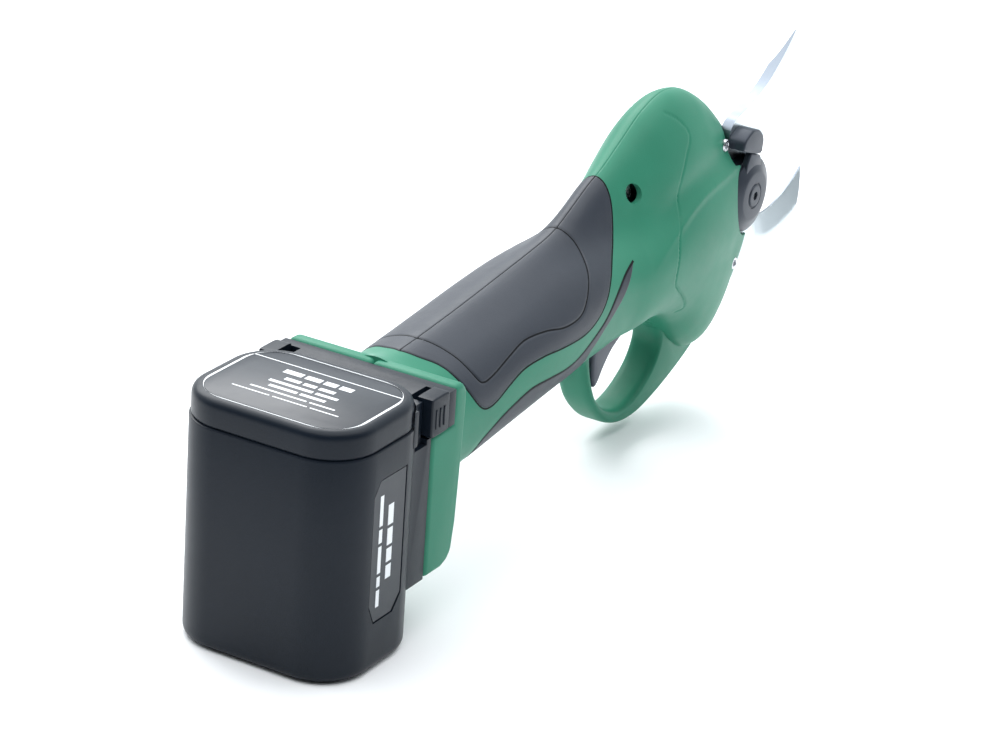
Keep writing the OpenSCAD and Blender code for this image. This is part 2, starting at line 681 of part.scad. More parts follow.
module counter_blade() {
    color(silver) at_pivot() difference() {
        union() {
            bar_y(0, 0, hub_r, counter_y, counter_y + blade_t);
            across(counter_y, counter_y + blade_t) polygon(counter_edge);
            across(counter_y, counter_y + blade_t) polygon(counter_root);
        }
        bar_y(0, 0, bolt_r, counter_y - 1, moving_y);
        for (p = concat(posts, [seat_boss])) bar_y(p[0], p[1], 1.65, counter_y - 1, moving_y);
        // thread for the lower small screw at the shell's front edge
        bar_y(front_screw_spots[1][0] - pivot_x, front_screw_spots[1][1] - pivot_z, 1.05, counter_y - 1, moving_y);
        grind([12, -11.9], [24, -11.9], counter_y + blade_t - 0.5, counter_y, -6);
        grind([22.2, -12.4], [46, -3.6], counter_y + blade_t - 0.5, counter_y, -6);
    }
}
module blade_screws() {
    color(silver) at_pivot() for (p = concat(posts, [seat_boss])) {
        bar_y(p[0], p[1], 1.5, counter_y, p == seat_boss ? -5.7 : 3.5);
        bar_y(p[0], p[1], 2.5, counter_y - 0.15, counter_y);
    }
}
module pivot_bolt() {
    color(steel) at_pivot() {
        bar_y(0, 0, bolt_r, counter_y, plate_y[1]);
        bar_y(0, 0, 7, plate_y[1], plate_y[1] + 2.6);
        bar_y(0, 0, 3, counter_y - 2.4, counter_y);
    }
}
// Conical cap nut with a round boss, a hexagon recess and an ear under the blade stop
module pivot_cap() {
    cap_h = 3.2;
    face_r = 7.8;
    color(slate) at_pivot() difference() {
        union() {
            translate([0, counter_y, 0]) rotate([90, 0, 0]) rotate_extrude($fn = 64) polygon([
                [0, 0], [cap_r, 0], [cap_r, 0.8], [cap_r - 1.2, 1.6], [face_r + 1, cap_h - 0.4], [face_r, cap_h], [0, cap_h],
            ]);
            across(counter_y - 2, counter_y) polygon([[-5.5, 9], [4.5, 9.5], [3.6, 12.9], [-3.2, 14.9]]);
        }
        bar_y(0, 0, 3, -30, 0);
        translate([0, counter_y - 1.4, 0]) rotate([90, 0, 0]) cylinder(r = 3.6, h = 5, $fn = 6);
    }
}
module blade_stop() {
    color(dark_steel) at_pivot() {
        across(stop_y, moving_y - blade_gap) polygon([
            [-10, 17.6], [3.4, 13.2], [4, 18.4], [1, 21.6], [-4.4, 22.9], [-9, 20.6],
        ]);
    }
}

// ---- Electronics in the handle ----

board_x = [-168, -117];
module control_board() {
    color(board_green) on_drive() block(board_x, [-13, 13], [-5.6, -4]);
}
module board_capacitors() {
    color(slate) on_drive() for (k = [0:1]) rotate([0, 0, 0]) translate([board_x[0] + 8, -6 + 12 * k, -4]) cylinder(r = 4.6, h = 13);
}
module board_transistors() {
    color(slate) on_drive() for (i = [0:2]) for (j = [0:1])
        block([board_x[0] + 20 + i * 9, board_x[0] + 26 + i * 9], [-7.5 + j * 9, -2.5 + j * 9], [-4, -2.4]);
}
terminal_spots = [-8, -2.7, 2.7, 8];
module terminal_block() {
    color(slate) difference() {
        block([32.9, 41], [-10.8, 10.8], [42.2, 57.8]);
        for (y = terminal_spots) block([31, 45], [y - 0.5, y + 0.5], [44, 56]);
    }
}
module dock_terminals() {
    color(copper) for (y = terminal_spots) block([29.4, 43], [y - 0.45, y + 0.45], [44.2, 55.8]);
}

// ---- Battery ----

case_wall = 2;
cell_r = 9.2;
cell_l = 65;
cell_spots = [for (x = [-9.6, 9.6]) for (y = [-9.6, 9.6]) [x, y]];
slide_front = 32.9;
shoulder_z = [60, 70.4];
latch_z = [60.5, 71.4];
latch_x = [20.2, 29];

module case_plan(inset) {
    rounded_rect(case_l - 2 * inset, case_w - 2 * inset, case_corner - inset);
}
module battery_case() {
    color(slate) difference() {
        union() {
            translate([0, 0, 2]) linear_extrude(case_h - 2) case_plan(0);
            linear_extrude(2) case_plan(0.8);
        }
        translate([0, 0, case_wall]) linear_extrude(case_h) case_plan(case_wall);
        // label recesses in the flanks
        for (s = [-1, 1]) across(s < 0 ? -30 : case_w / 2 - 0.5, s < 0 ? 0.5 - case_w / 2 : 30) label_outline(0);
    }
}
module label_outline(inset) {
    i = inset;
    polygon([[-7.5 + i, 20 + i], [-5 + i, 14.5 + i], [4.5 - i, 14.5 + i], [8.5 - i, 19 + i], [8.5 - i, 57 - i],
        [-4.5 + i, 57 - i], [-7.5 + i, 53 - i]]);
}
module battery_lid() {
    z0 = case_h;
    color(slate) difference() {
        union() {
            translate([0, 0, z0]) linear_extrude(lid_h - 1.6) case_plan(0.5);
            translate([0, 0, z0 + lid_h - 1.6]) linear_extrude(1) case_plan(1.1);
            translate([0, 0, z0 + lid_h - 0.6]) linear_extrude(0.6) case_plan(2.2);
        }
        translate([0, 0, z0 - 1]) linear_extrude(lid_h - 1.4) case_plan(case_wall + 0.5);
        translate([0, 0, z0 + lid_h - 0.4]) linear_extrude(1) rounded_rect(case_l - 8, case_w - 8, 10);
    }
}
module lid_label() {
    color(slate) translate([0, 0, case_h + lid_h - 0.4]) linear_extrude(0.3) rounded_rect(case_l - 8.4, case_w - 8.4, 9.8);
}
module side_labels() {
    color(slate) for (s = [-1, 1]) across(s < 0 ? 0.2 - case_w / 2 : case_w / 2 - 0.5, s < 0 ? 0.5 - case_w / 2 : case_w / 2 - 0.2)
        label_outline(0.4);
}
// Plastic slide on the front of the battery: flange, rail and the shoulder that holds the latches
module battery_slide() {
    color(slate) difference() {
        union() {
            block([12, 22.3], [-27.2, 27.2], [16.7, shoulder_z[1]]);
            block([22, 26.2], [-22.4, 22.4], [19.4, 62]);
            block([26, slide_front], [-24.2, 24.2], [19.4, 62]);
            block([12, slide_front], [-28, 28], [shoulder_z[0], shoulder_z[1]]);
        }
        translate([0, 0, -1]) linear_extrude(100) case_plan(0);
        // pockets for the two latches, the finger recesses above them and their springs
        for (s = [-1, 1]) {
            block([latch_x[0] - gap, latch_x[1] + gap], s < 0 ? [-30, -20.5] : [20.5, 30], [latch_z[0] - 1, 80]);
            block([14, latch_x[0]], s < 0 ? [-30, -25.4] : [25.4, 30], [58, 80]);
        }
        // space for the dock's terminal block, and seats for the contacts behind it
        block([28, 40], [-11.2, 11.2], [10, 58.2]);
        for (y = terminal_spots) block([22.4, 28.4], [y - 1.3, y + 1.3], [44, 56]);
    }
}
module battery_contacts() {
    color(copper) for (y = terminal_spots) {
        block([22.4, 32], [y - 1.3, y - 0.6], [44, 56]);
        block([22.4, 32], [y + 0.6, y + 1.3], [44, 56]);
    }
}
module battery_cells() {
    color([0.15, 0.35, 0.6]) for (p = cell_spots) translate([p[0], p[1], case_wall + 0.3]) cylinder(r = cell_r, h = cell_l);
}
module cell_holder() {
    color([0.1, 0.1, 0.1]) for (z = [case_wall + 2, case_h - 8]) translate([0, 0, z]) linear_extrude(5) difference() {
        polygon([[19.5, 14], [15.5, 20], [-15.5, 20], [-19.5, 14], [-19.5, -14], [-15.5, -20], [15.5, -20], [19.5, -14]]);
        for (p = cell_spots) translate(p) circle(cell_r + fit);
    }
}
module cell_straps() {
    z = case_wall + 0.3 + cell_l;
    color(silver) for (s = [-1, 1]) block([-14, 14], s < 0 ? [-12.6, -6.6] : [6.6, 12.6], [z, z + 0.3]);
}
module battery_board() {
    color(board_green) block([-14, 14], [22, 23.4], [8, 60]);
}
// Latch buttons are pressed inwards against their springs to free the battery
latch_face = 28.7;
latch_in = 23.5;
module latch(side) {
    color(slate) difference() {
        block(latch_x, side < 0 ? [-latch_face, -latch_in] : [latch_in, latch_face], [latch_z[0] - 0.6, latch_z[1]]);
        for (k = [0:2]) block([21.8 + k * 2, 22.8 + k * 2], side < 0 ? [-30, 0.5 - latch_face] : [latch_face - 0.5, 30],
            [62.5, 68]);
        bar_y(24.3, 64, 2.2, side < 0 ? -26 : 0, side < 0 ? 0 : 26);
    }
}
module latch_right() {
    latch(-1);
}
module latch_left() {
    latch(1);
}
module latch_springs() {
    coils = 4;
    color(silver) for (s = [-1, 1]) for (k = [0:coils - 1])
        translate([24.3, s * (20.85 + k * 0.95), 64]) rotate([90, 0, 0])
            rotate_extrude() translate([1.6, 0]) circle(0.3);
}

housing_right();
housing_left();
grip_right();
grip_left();
finger_pad_right();
finger_pad_left();
housing_screws();
front_screws();
trigger();
trigger_magnet();
trigger_pin();
trigger_spring();
hall_sensor_board();
motor_can();
motor_end_cap();
stator_core();
stator_windings();
rotor_magnets();
rotor_shaft();
motor_bearings();
sun_gear();
ring_gear();
planet_gear_top();
planet_gear_left();
planet_gear_right();
planet_carrier();
gearbox_housing();
output_bearing();
bevel_pinion();
head_frame();
moving_blade();
drive_sector();
sector_rivets();
counter_blade();
blade_screws();
pivot_bolt();
pivot_cap();
blade_stop();
control_board();
board_capacitors();
board_transistors();
dock_terminals();
terminal_block();
battery_case();
battery_lid();
lid_label();
side_labels();
battery_slide();
battery_contacts();
battery_cells();
cell_holder();
cell_straps();
battery_board();
latch_right();
latch_left();
latch_springs();
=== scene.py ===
"""Looks of the battery pruner: smooth shells, soft grips, blades and battery over the fixed CAD frame."""
import json
import math

import bmesh
import bpy
import numpy as np
from mathutils import Matrix, Vector

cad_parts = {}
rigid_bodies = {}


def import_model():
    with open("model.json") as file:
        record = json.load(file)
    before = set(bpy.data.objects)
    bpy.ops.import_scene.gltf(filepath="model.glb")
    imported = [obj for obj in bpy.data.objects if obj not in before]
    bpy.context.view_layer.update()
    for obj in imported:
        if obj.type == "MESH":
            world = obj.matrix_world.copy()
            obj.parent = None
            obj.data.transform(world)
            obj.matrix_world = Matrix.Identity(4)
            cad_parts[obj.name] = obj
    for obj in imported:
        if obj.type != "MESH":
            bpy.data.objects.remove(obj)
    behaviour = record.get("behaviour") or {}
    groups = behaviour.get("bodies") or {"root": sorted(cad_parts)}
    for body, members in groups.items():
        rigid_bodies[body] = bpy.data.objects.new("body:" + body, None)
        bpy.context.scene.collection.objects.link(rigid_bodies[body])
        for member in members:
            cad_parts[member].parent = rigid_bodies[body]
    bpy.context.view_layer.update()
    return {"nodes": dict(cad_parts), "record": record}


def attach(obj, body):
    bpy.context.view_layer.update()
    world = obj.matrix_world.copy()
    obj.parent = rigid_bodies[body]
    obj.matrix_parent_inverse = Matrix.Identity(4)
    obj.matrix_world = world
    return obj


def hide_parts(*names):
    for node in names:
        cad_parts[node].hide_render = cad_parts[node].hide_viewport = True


MM = 0.001
RIGHT, LEFT = -1, 1

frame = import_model()
NODES = frame["nodes"]

# ---------------------------------------------------------------- materials


def srgb(r, g, b):
    """An 8-bit screen colour as the linear colour that shaders take."""
    linear = [((c / 255 + 0.055) / 1.055) ** 2.4 if c > 10 else c / 255 / 12.92 for c in (r, g, b)]
    return tuple(linear) + (1.0,)


class Shader:
    """A principled material whose colour, roughness and bump come from noise."""

    def __init__(self, name):
        self.mat = bpy.data.materials.new(name)
        self.mat.use_nodes = True
        self.nodes = self.mat.node_tree.nodes
        self.links = self.mat.node_tree.links
        self.bsdf = self.nodes["Principled BSDF"]
        self.coords = self.nodes.new("ShaderNodeTexCoord")

    def node(self, kind, **inputs):
        made = self.nodes.new(kind)
        for key, value in inputs.items():
            made.inputs[key.replace("_", " ")].default_value = value
        return made

    def scaled(self, scale):
        mapping = self.node("ShaderNodeMapping", Scale=scale)
        self.links.new(self.coords.outputs["Object"], mapping.inputs["Vector"])
        return mapping.outputs["Vector"]

    def noise(self, scale, detail=4.0, stretch=(1, 1, 1)):
        tex = self.node("ShaderNodeTexNoise", Scale=scale, Detail=detail)
        self.links.new(self.scaled(stretch), tex.inputs["Vector"])
        return tex.outputs["Fac"]

    def cells(self, scale):
        tex = self.node("ShaderNodeTexVoronoi", Scale=scale)
        self.links.new(self.scaled((1, 1, 1)), tex.inputs["Vector"])
        return tex.outputs["Distance"]

    def between(self, fac, low, high):
        ramp = self.nodes.new("ShaderNodeMapRange")
        ramp.inputs["To Min"].default_value = low
        ramp.inputs["To Max"].default_value = high
        self.links.new(fac, ramp.inputs["Value"])
        return ramp.outputs["Result"]

    def dull_edges(self, colour):
        """Gives a plate's narrow sides, which do not face along Y, a colour of their own."""
        split = self.nodes.new("ShaderNodeSeparateXYZ")
        self.links.new(self.coords.outputs["Normal"], split.inputs["Vector"])
        facing = self.nodes.new("ShaderNodeMath")
        facing.operation = "ABSOLUTE"
        self.links.new(split.outputs["Y"], facing.inputs[0])
        mix = self.nodes.new("ShaderNodeMixRGB")
        mix.inputs["Color1"].default_value = colour
        self.links.new(facing.outputs["Value"], mix.inputs["Fac"])
        self.links.new(self.bsdf.inputs["Base Color"].links[0].from_socket, mix.inputs["Color2"])
        self.links.new(mix.outputs["Color"], self.bsdf.inputs["Base Color"])
        return self

    def colour(self, fac, dark, light, low=0.3, high=0.7):
        ramp = self.nodes.new("ShaderNodeValToRGB")
        ramp.color_ramp.elements[0].position = low
        ramp.color_ramp.elements[0].color = dark
        ramp.color_ramp.elements[1].position = high
        ramp.color_ramp.elements[1].color = light
        self.links.new(fac, ramp.inputs["Fac"])
        self.links.new(ramp.outputs["Color"], self.bsdf.inputs["Base Color"])

    def roughness(self, fac, low, high):
        self.links.new(self.between(fac, low, high), self.bsdf.inputs["Roughness"])

    def bump(self, height, strength, distance):
        bump = self.node("ShaderNodeBump", Strength=strength, Distance=distance)
        self.links.new(height, bump.inputs["Height"])
        self.links.new(bump.outputs["Normal"], self.bsdf.inputs["Normal"])

    def set(self, **values):
        for key, value in values.items():
            self.bsdf.inputs[key.replace("_", " ")].default_value = value
        return self


def shade(colour, factor):
    return tuple(min(1.0, c * factor) for c in colour[:3]) + (1.0,)


def moulded(name, colour, rough, grain, strength, spread=0.06):
    """Moulded plastic or rubber: faint mottling, uneven sheen and a fine surface grain."""
    s = Shader(name)
    s.colour(s.noise(40.0), shade(colour, 1 - spread), shade(colour, 1 + spread))
    s.roughness(s.noise(220.0, 6.0), rough - 0.05, rough + 0.06)
    s.bump(s.cells(grain), strength, 0.00012)
    return s


def metal(name, colour, rough, stretch, strength=0.12):
    """Machined or ground metal, with fine lines along the axis that has the smallest stretch."""
    s = Shader(name)
    lines = s.noise(900.0, 3.0, stretch)
    s.colour(s.noise(60.0), shade(colour, 0.93), shade(colour, 1.04))
    s.roughness(lines, rough - 0.05, rough + 0.1)
    s.bump(lines, strength, 0.00004)
    return s.set(Metallic=1.0)


GREEN = srgb(49, 124, 99)
BATTERY = srgb(18, 26, 36)
CAP = srgb(48, 54, 64)
GROUND_STEEL = srgb(202, 211, 215)
CUT_STEEL = srgb(122, 129, 138)
EVEN = (1, 1, 1)
ALONG_Y = (1, 0.05, 1)
ALONG_X = (0.05, 1, 1)
MATS = {
    "green_shell": moulded("green_shell", GREEN, 0.42, 2600.0, 0.10).set(Specular_IOR_Level=0.2),
    "soft_grip": moulded("soft_grip", srgb(37, 43, 54), 0.46, 3200.0, 0.16).set(Specular_IOR_Level=0.42),
    "trigger_plastic": moulded("trigger_plastic", srgb(62, 66, 80), 0.42, 2400.0, 0.10),
    "battery_plastic": moulded("battery_plastic", BATTERY, 0.34, 2200.0, 0.12).set(Specular_IOR_Level=0.2),
    "component_black": moulded("component_black", srgb(22, 22, 25), 0.40, 1800.0, 0.10),
    "label": moulded("label", srgb(30, 36, 45), 0.34, 1500.0, 0.04, 0.04).set(Specular_IOR_Level=0.42),
    "board": moulded("board", srgb(18, 96, 62), 0.32, 1400.0, 0.10, 0.12),
    "cell_wrap": moulded("cell_wrap", srgb(38, 92, 150), 0.30, 900.0, 0.05),
    "motor_black": moulded("motor_black", srgb(30, 30, 33), 0.40, 2000.0, 0.12).set(Metallic=0.4),
    "cap_black": moulded("cap_black", CAP, 0.36, 2600.0, 0.14).set(Metallic=0.3, Specular_IOR_Level=0.4),
    "screw_steel": metal("screw_steel", srgb(196, 198, 202), 0.24, EVEN),
    "magnet": metal("magnet", srgb(205, 205, 210), 0.16, EVEN, 0.05),
    "pin_steel": metal("pin_steel", srgb(180, 182, 187), 0.24, ALONG_Y),
    "spring_steel": metal("spring_steel", srgb(165, 168, 172), 0.28, EVEN),
    "motor_metal": metal("motor_metal", srgb(186, 188, 192), 0.42, EVEN, 0.3),
    "frame_metal": metal("frame_metal", srgb(172, 174, 178), 0.46, EVEN, 0.35),
    "gear_steel": metal("gear_steel", srgb(158, 160, 166), 0.34, EVEN),
    "copper": metal("copper", srgb(214, 140, 92), 0.28, EVEN),
    "blade_steel": metal("blade_steel", GROUND_STEEL, 0.28, ALONG_X, 0.10).dull_edges(CUT_STEEL),
}
PRINT = moulded("label_print", srgb(232, 235, 238), 0.35, 1500.0, 0.04, 0.03)
# Painted shade: a near-black for the strips laid in the grooves and gaps where shadow falls
SHADOW_GAP = moulded("shadow_gap", srgb(9, 12, 16), 0.6, 1800.0, 0.05).set(Specular_IOR_Level=0.15)

SLOT_OF = {entry["node"]: entry["material_slot"] for entry in frame["record"]["subparts"]}
for node_name, node_object in NODES.items():
    node_object.data.materials.clear()
    node_object.data.materials.append(MATS[SLOT_OF[node_name]].mat)

# ---------------------------------------------------------------- mesh helpers, in millimetres


def new_object(name, verts, faces, sharp=40.0):
    """A mesh object from points in millimetres."""
    mesh = bpy.data.meshes.new(name)
    mesh.from_pydata([tuple(float(c) * MM for c in v) for v in verts], [], faces)
    mesh.validate()
    mesh.update()
    for polygon in mesh.polygons:
        polygon.use_smooth = True
    if sharp:
        mesh.set_sharp_from_angle(angle=math.radians(sharp))
    made = bpy.data.objects.new(name, mesh)
    bpy.context.scene.collection.objects.link(made)
    return made


def with_bmesh(obj, work):
    bm = bmesh.new()
    bm.from_mesh(obj.data)
    work(bm)
    bm.to_mesh(obj.data)
    bm.free()
    obj.data.update()
    return obj


def smooth(obj, sharp=35.0):
    """Smooth shading, apart from edges over the sharp angle in degrees."""
    for polygon in obj.data.polygons:
        polygon.use_smooth = True
    obj.data.set_sharp_from_angle(angle=math.radians(sharp))
    return obj


def recalc(obj):
    """Turns the faces of a closed mesh outwards."""
    return with_bmesh(obj, lambda bm: bmesh.ops.recalc_face_normals(bm, faces=bm.faces))


def applied(obj, sharp=35.0):
    """Bakes the object's modifiers into its mesh."""
    depsgraph = bpy.context.evaluated_depsgraph_get()
    mesh = bpy.data.meshes.new_from_object(obj.evaluated_get(depsgraph))
    obj.modifiers.clear()
    obj.data = mesh
    return smooth(obj, sharp)


def rounded(obj, width, segments=3, angle=32.0):
    """Rounds the edges that turn more than angle."""
    bevel = obj.modifiers.new("round", "BEVEL")
    bevel.width = width * MM
    bevel.segments = segments
    bevel.limit_method = "ANGLE"
    bevel.angle_limit = math.radians(angle)
    bevel.harden_normals = False
    return applied(obj)


def joined(name, parts):
    """One object out of several."""
    bm = bmesh.new()
    for part in parts:
        bm.from_mesh(part.data)
    mesh = bpy.data.meshes.new(name)
    bm.to_mesh(mesh)
    bm.free()
    for part in parts:
        bpy.data.objects.remove(part)
    made = bpy.data.objects.new(name, mesh)
    bpy.context.scene.collection.objects.link(made)
    return smooth(made)


def cut_out(obj, cutters):
    """Subtracts all cutters from obj."""
    group = bpy.data.collections.new("cutters")
    for cutter in cutters:
        for home in list(cutter.users_collection):
            home.objects.unlink(cutter)
        group.objects.link(cutter)
    bpy.context.scene.collection.children.link(group)
    cut = obj.modifiers.new("cut", "BOOLEAN")
    cut.operation = "DIFFERENCE"
    cut.operand_type = "COLLECTION"
    cut.collection = group
    cut.solver = "EXACT"
    applied(obj)
    for cutter in list(group.objects):
        bpy.data.objects.remove(cutter)
    bpy.data.collections.remove(group)
    return obj


def ring_faces(rings, count):
    """Quads between successive closed rings of the same number of points."""
    faces = []
    for ring in range(rings - 1):
        here, there = ring * count, (ring + 1) * count
        faces += [(here + k, here + (k + 1) % count, there + (k + 1) % count, there + k)
                  for k in range(count)]
    return faces


def loft(name, rings, sharp=40.0, caps=True):
    """A closed skin through rings of points."""
    count = len(rings[0])
    faces = ring_faces(len(rings), count)
    if caps:
        faces.append(tuple(range(count - 1, -1, -1)))
        faces.append(tuple(range((len(rings) - 1) * count, len(rings) * count)))
    return recalc(new_object(name, np.concatenate([np.asarray(r, float) for r in rings]), faces, sharp))


def spline(a, b, c, d, u):
    """The point at u between b and c on a Catmull-Rom spline through a, b, c and d."""
    square, cube = 2 * a - 5 * b + 4 * c - d, 3 * b - a - 3 * c + d
    return 0.5 * (2 * b + (c - a) * u + square * u**2 + cube * u**3)


def catmull(points, step):
    """A smooth run of points through the given ones, about one step apart."""
    p = np.asarray(points, float)
    p = np.vstack([2 * p[0] - p[1], p, 2 * p[-1] - p[-2]])
    out = []
    for k in range(1, len(p) - 2):
        n = max(2, int(np.linalg.norm(p[k + 1] - p[k]) / step))
        u = (np.arange(n) / n)[:, None]
        out.append(spline(p[k - 1], p[k], p[k + 1], p[k + 2], u))
    out.append(p[-2][None])
    return np.vstack(out)


def closed_catmull(points, step):
    """A smooth closed outline through the points."""
    return catmull(list(points) + [points[0]], step)[:-1]


def inward(outline):
    """Unit normals of a closed outline in its plane, pointing inwards."""
    ahead, behind = np.roll(outline, -1, 0), np.roll(outline, 1, 0)
    t1, t2 = ahead - outline, outline - behind
    t = t1 / np.linalg.norm(t1, axis=1)[:, None] + t2 / np.linalg.norm(t2, axis=1)[:, None]
    t /= np.maximum(np.linalg.norm(t, axis=1)[:, None], 1e-9)
    n = np.stack([-t[:, 1], t[:, 0]], 1)
    area = np.sum(outline[:, 0] * ahead[:, 1] - ahead[:, 0] * outline[:, 1])
    return n if area > 0 else -n


def plate(name, outline, y0, y1, round0=(0, 0), round1=(0, 0), steps=4, sharp=40.0):
    """An X-Z outline spread from y0 to y1, with edges rounded by (in-plane, across) radii at each end."""
    outline = np.asarray(outline, float)
    n = inward(outline)
    levels = []
    sign = 1 if y1 > y0 else -1
    for (r_in, r_across), y, toward in ((round0, y0, sign), (round1, y1, -sign)):
        turns = [math.pi / 2 * k / steps for k in range(steps + 1)] if r_in > 0 else [math.pi / 2]
        part = [(r_in * (1 - math.sin(t)), y + toward * r_across * (1 - math.cos(t))) for t in turns]
        levels.append(part)
    order = levels[0] + levels[1][::-1]
    rings = []
    for inset, y in order:
        flat = outline + n * inset
        rings.append(np.stack([flat[:, 0], np.full(len(flat), y), flat[:, 1]], 1))
    return loft(name, rings, sharp)


def turned(name, profile, centre, count=72, sharp=35.0):
    """A lathe shape about an axis along Y: the profile gives radius and y."""
    rings = []
    for r, y in profile:
        a = np.arange(count) * 2 * math.pi / count
        rings.append(np.stack([centre[0] + r * np.cos(a), np.full(count, y), centre[1] + r * np.sin(a)], 1))
    return loft(name, rings, sharp)


def drum(centre, r, y0, y1):
    return turned("drum", [(r, y0), (r, y1)], centre, 64)


def slab(x, y, z):
    corners = [(i, j, k) for i in x for j in y for k in z]
    faces = [(0, 1, 3, 2), (4, 6, 7, 5), (0, 4, 5, 1), (2, 3, 7, 6), (0, 2, 6, 4), (1, 5, 7, 3)]
    return recalc(new_object("slab", corners, faces, 30))


def rounded_rect(length, width, r, per_corner=14):
    """Points round a rounded rectangle centred on the origin, in the X-Y plane."""
    out = []
    for k, (sx, sy) in enumerate([(1, 1), (-1, 1), (-1, -1), (1, -1)]):
        for i in range(per_corner + 1):
            a = math.pi / 2 * (k + i / per_corner)
            out.append((sx * (length / 2 - r) + r * math.cos(a), sy * (width / 2 - r) + r * math.sin(a)))
    return np.array(out)


def from_cad(name, node, width, segments=3):
    """A rounded copy of a CAD node's shape."""
    made = bpy.data.objects.new(name, NODES[node].data.copy())
    bpy.context.scene.collection.objects.link(made)

    def clean(bm):
        bmesh.ops.remove_doubles(bm, verts=bm.verts, dist=1e-6)
        bmesh.ops.dissolve_limit(bm, angle_limit=math.radians(1.0), verts=bm.verts, edges=bm.edges)

    with_bmesh(made, clean)
    made.data.materials.clear()
    return rounded(made, width, segments)


def dress(obj, body, nodes, slot, material=None):
    """Gives a visible piece its material and the body it rides on, and hides the CAD nodes it stands for."""
    obj.data.materials.clear()
    obj.data.materials.append((material or MATS[slot]).mat)
    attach(obj, body)
    if nodes:
        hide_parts(*nodes)
    return obj


# ---------------------------------------------------------------- the body's surface

# x, centre height, half width, rise, drop, roundness up, roundness down, crest half width, crest rise
ROWS = np.array([
    [36, 48.5, 23, 21.5, 23, 2.3, 2.3, 10, 21], [44, 48.5, 21.8, 19.5, 20, 2.2, 2.2, 10, 19],
    [53, 49.5, 21.2, 18.8, 20, 2.1, 2.2, 10, 18], [68, 51, 21, 18.8, 20, 2.1, 2.2, 10, 18],
    [83, 53, 21, 18.3, 20.5, 2.1, 2.2, 10, 18], [103, 55.5, 21, 18.5, 21, 2, 2.2, 10, 18],
    [118, 57, 20.6, 18.5, 21.5, 2, 2.2, 9, 19], [130, 58, 20, 18, 21.5, 2, 2.2, 9, 21],
    [140, 58.5, 19.5, 17.5, 21, 2, 2.3, 9.5, 25], [150, 58.5, 19.5, 17.5, 20, 2, 2.3, 10, 30],
    [160, 58.5, 20.5, 18, 19.3, 2, 2.4, 12, 34.5], [170, 59.5, 21, 19, 19.4, 2, 2.5, 14.5, 39],
    [181, 60.5, 21, 20, 22.3, 2.1, 2.6, 16.5, 44], [192, 60.5, 20.5, 20.5, 28.2, 2.2, 2.6, 17.5, 47],
    [203, 60.5, 19.5, 21, 38, 2.3, 2.6, 17.5, 46], [212, 60.5, 18.5, 21.5, 43, 2.5, 2.6, 17, 42],
    [219, 61.5, 17.6, 21, 41, 2.6, 2.6, 16.3, 36], [225, 62.5, 17, 20, 32, 2.7, 2.6, 15.5, 29],
    [230, 63.5, 16.5, 18, 23, 2.7, 2.6, 14, 22],
])


def row_at(t):
    """The section's measures between rows, t counting the rows."""
    n = len(ROWS) - 1
    i = np.clip(np.floor(t).astype(int), 0, n - 1)
    u = (t - i)[:, None]
    return spline(ROWS[np.maximum(i - 1, 0)], ROWS[i], ROWS[i + 1], ROWS[np.minimum(i + 2, n)], u)


CREST_FOOT, CREST_BLEND = 12, 6.0
NOSE_START, NOSE_LENGTH, NOSE_DEPTH = 227.5, 2.5, 1.8
MIDDLE_Z = 58.0
# Weights for spacing (x, degrees) points: a degree is about this many mm round the body
ANGLE_SCALE = np.array([1.0, 0.35])
T_TABLE = np.linspace(0, len(ROWS) - 1, 1200)
X_TABLE = row_at(T_TABLE)[:, 0]


def lobe(a, w, h, n):
    """Radius at angle a of a superellipse of half width w and half height h."""
    return ((np.abs(np.cos(a)) / w) ** n + (np.abs(np.sin(a)) / h) ** n) ** (-1 / n)


def blended(a, b, k):
    """The larger of two radii, with the corner between them filled over k."""
    h = np.maximum(k - np.abs(a - b), 0) / k
    return np.maximum(a, b) + h * h * k / 4


def skin(x, degrees, side):
    """Points on the body's outside at each x and angle round it, 90 being up."""
    a = np.radians(degrees)
    r = row_at(np.interp(x, X_TABLE, T_TABLE).ravel()).reshape(x.shape + (9,))
    r = np.moveaxis(r, -1, 0)
    crest = np.where(a >= 0, lobe(a, r[7], r[8], 2), lobe(a, r[7], CREST_FOOT, 2))
    side_part = np.where(a >= 0, lobe(a, r[2], r[3], r[5]), lobe(a, r[2], r[4], r[6]))
    d = blended(side_part, crest, CREST_BLEND)
    front = np.clip((x - NOSE_START) / NOSE_LENGTH, 0, 1)
    d = d - NOSE_DEPTH * (1 - np.sqrt(1 - front**2))
    return np.stack([x, side * d * np.cos(a), r[1] + d * np.sin(a)], -1)


def fine_edge(points, step):
    """A smooth run of (x, degrees) points through the given ones."""
    return catmull(np.asarray(points, float) * ANGLE_SCALE, step) / ANGLE_SCALE


def on_skin(points, side):
    """A smooth curve on the body through (x, degrees) points."""
    fine = fine_edge(points, 0.35)
    return skin(fine[:, 0], np.clip(fine[:, 1], -90, 90), side)


def outward(points):
    """Directions away from the line through the middle of the body."""
    x = points[..., 0]
    return points - np.stack([x, 0 * x, 0 * x + MIDDLE_Z], -1)


def distance(points, curve, reach):
    """Distance of each point from a curve; anything farther than reach is left at reach."""
    batch = 4000
    flat = points.reshape(-1, 3)
    lo, hi = curve.min(0) - reach, curve.max(0) + reach
    near = np.nonzero(np.all((flat > lo) & (flat < hi), 1))[0]
    out = np.full(len(flat), float(reach))
    for start in range(0, len(near), batch):
        part = near[start:start + batch]
        gap = np.linalg.norm(flat[part][:, None] - curve[None], axis=2).min(1)
        out[part] = np.minimum(gap, reach)
    return out.reshape(points.shape[:-1])


def sunk(points, depth, side):
    """Moves grid points inwards along the surface normal."""
    n = np.cross(np.gradient(points, axis=0), np.gradient(points, axis=1)) * side
    n /= np.maximum(np.linalg.norm(n, axis=-1), 1e-9)[..., None]
    flip = np.sign(np.sum(n * outward(points)))
    return points - n * flip * depth[..., None]


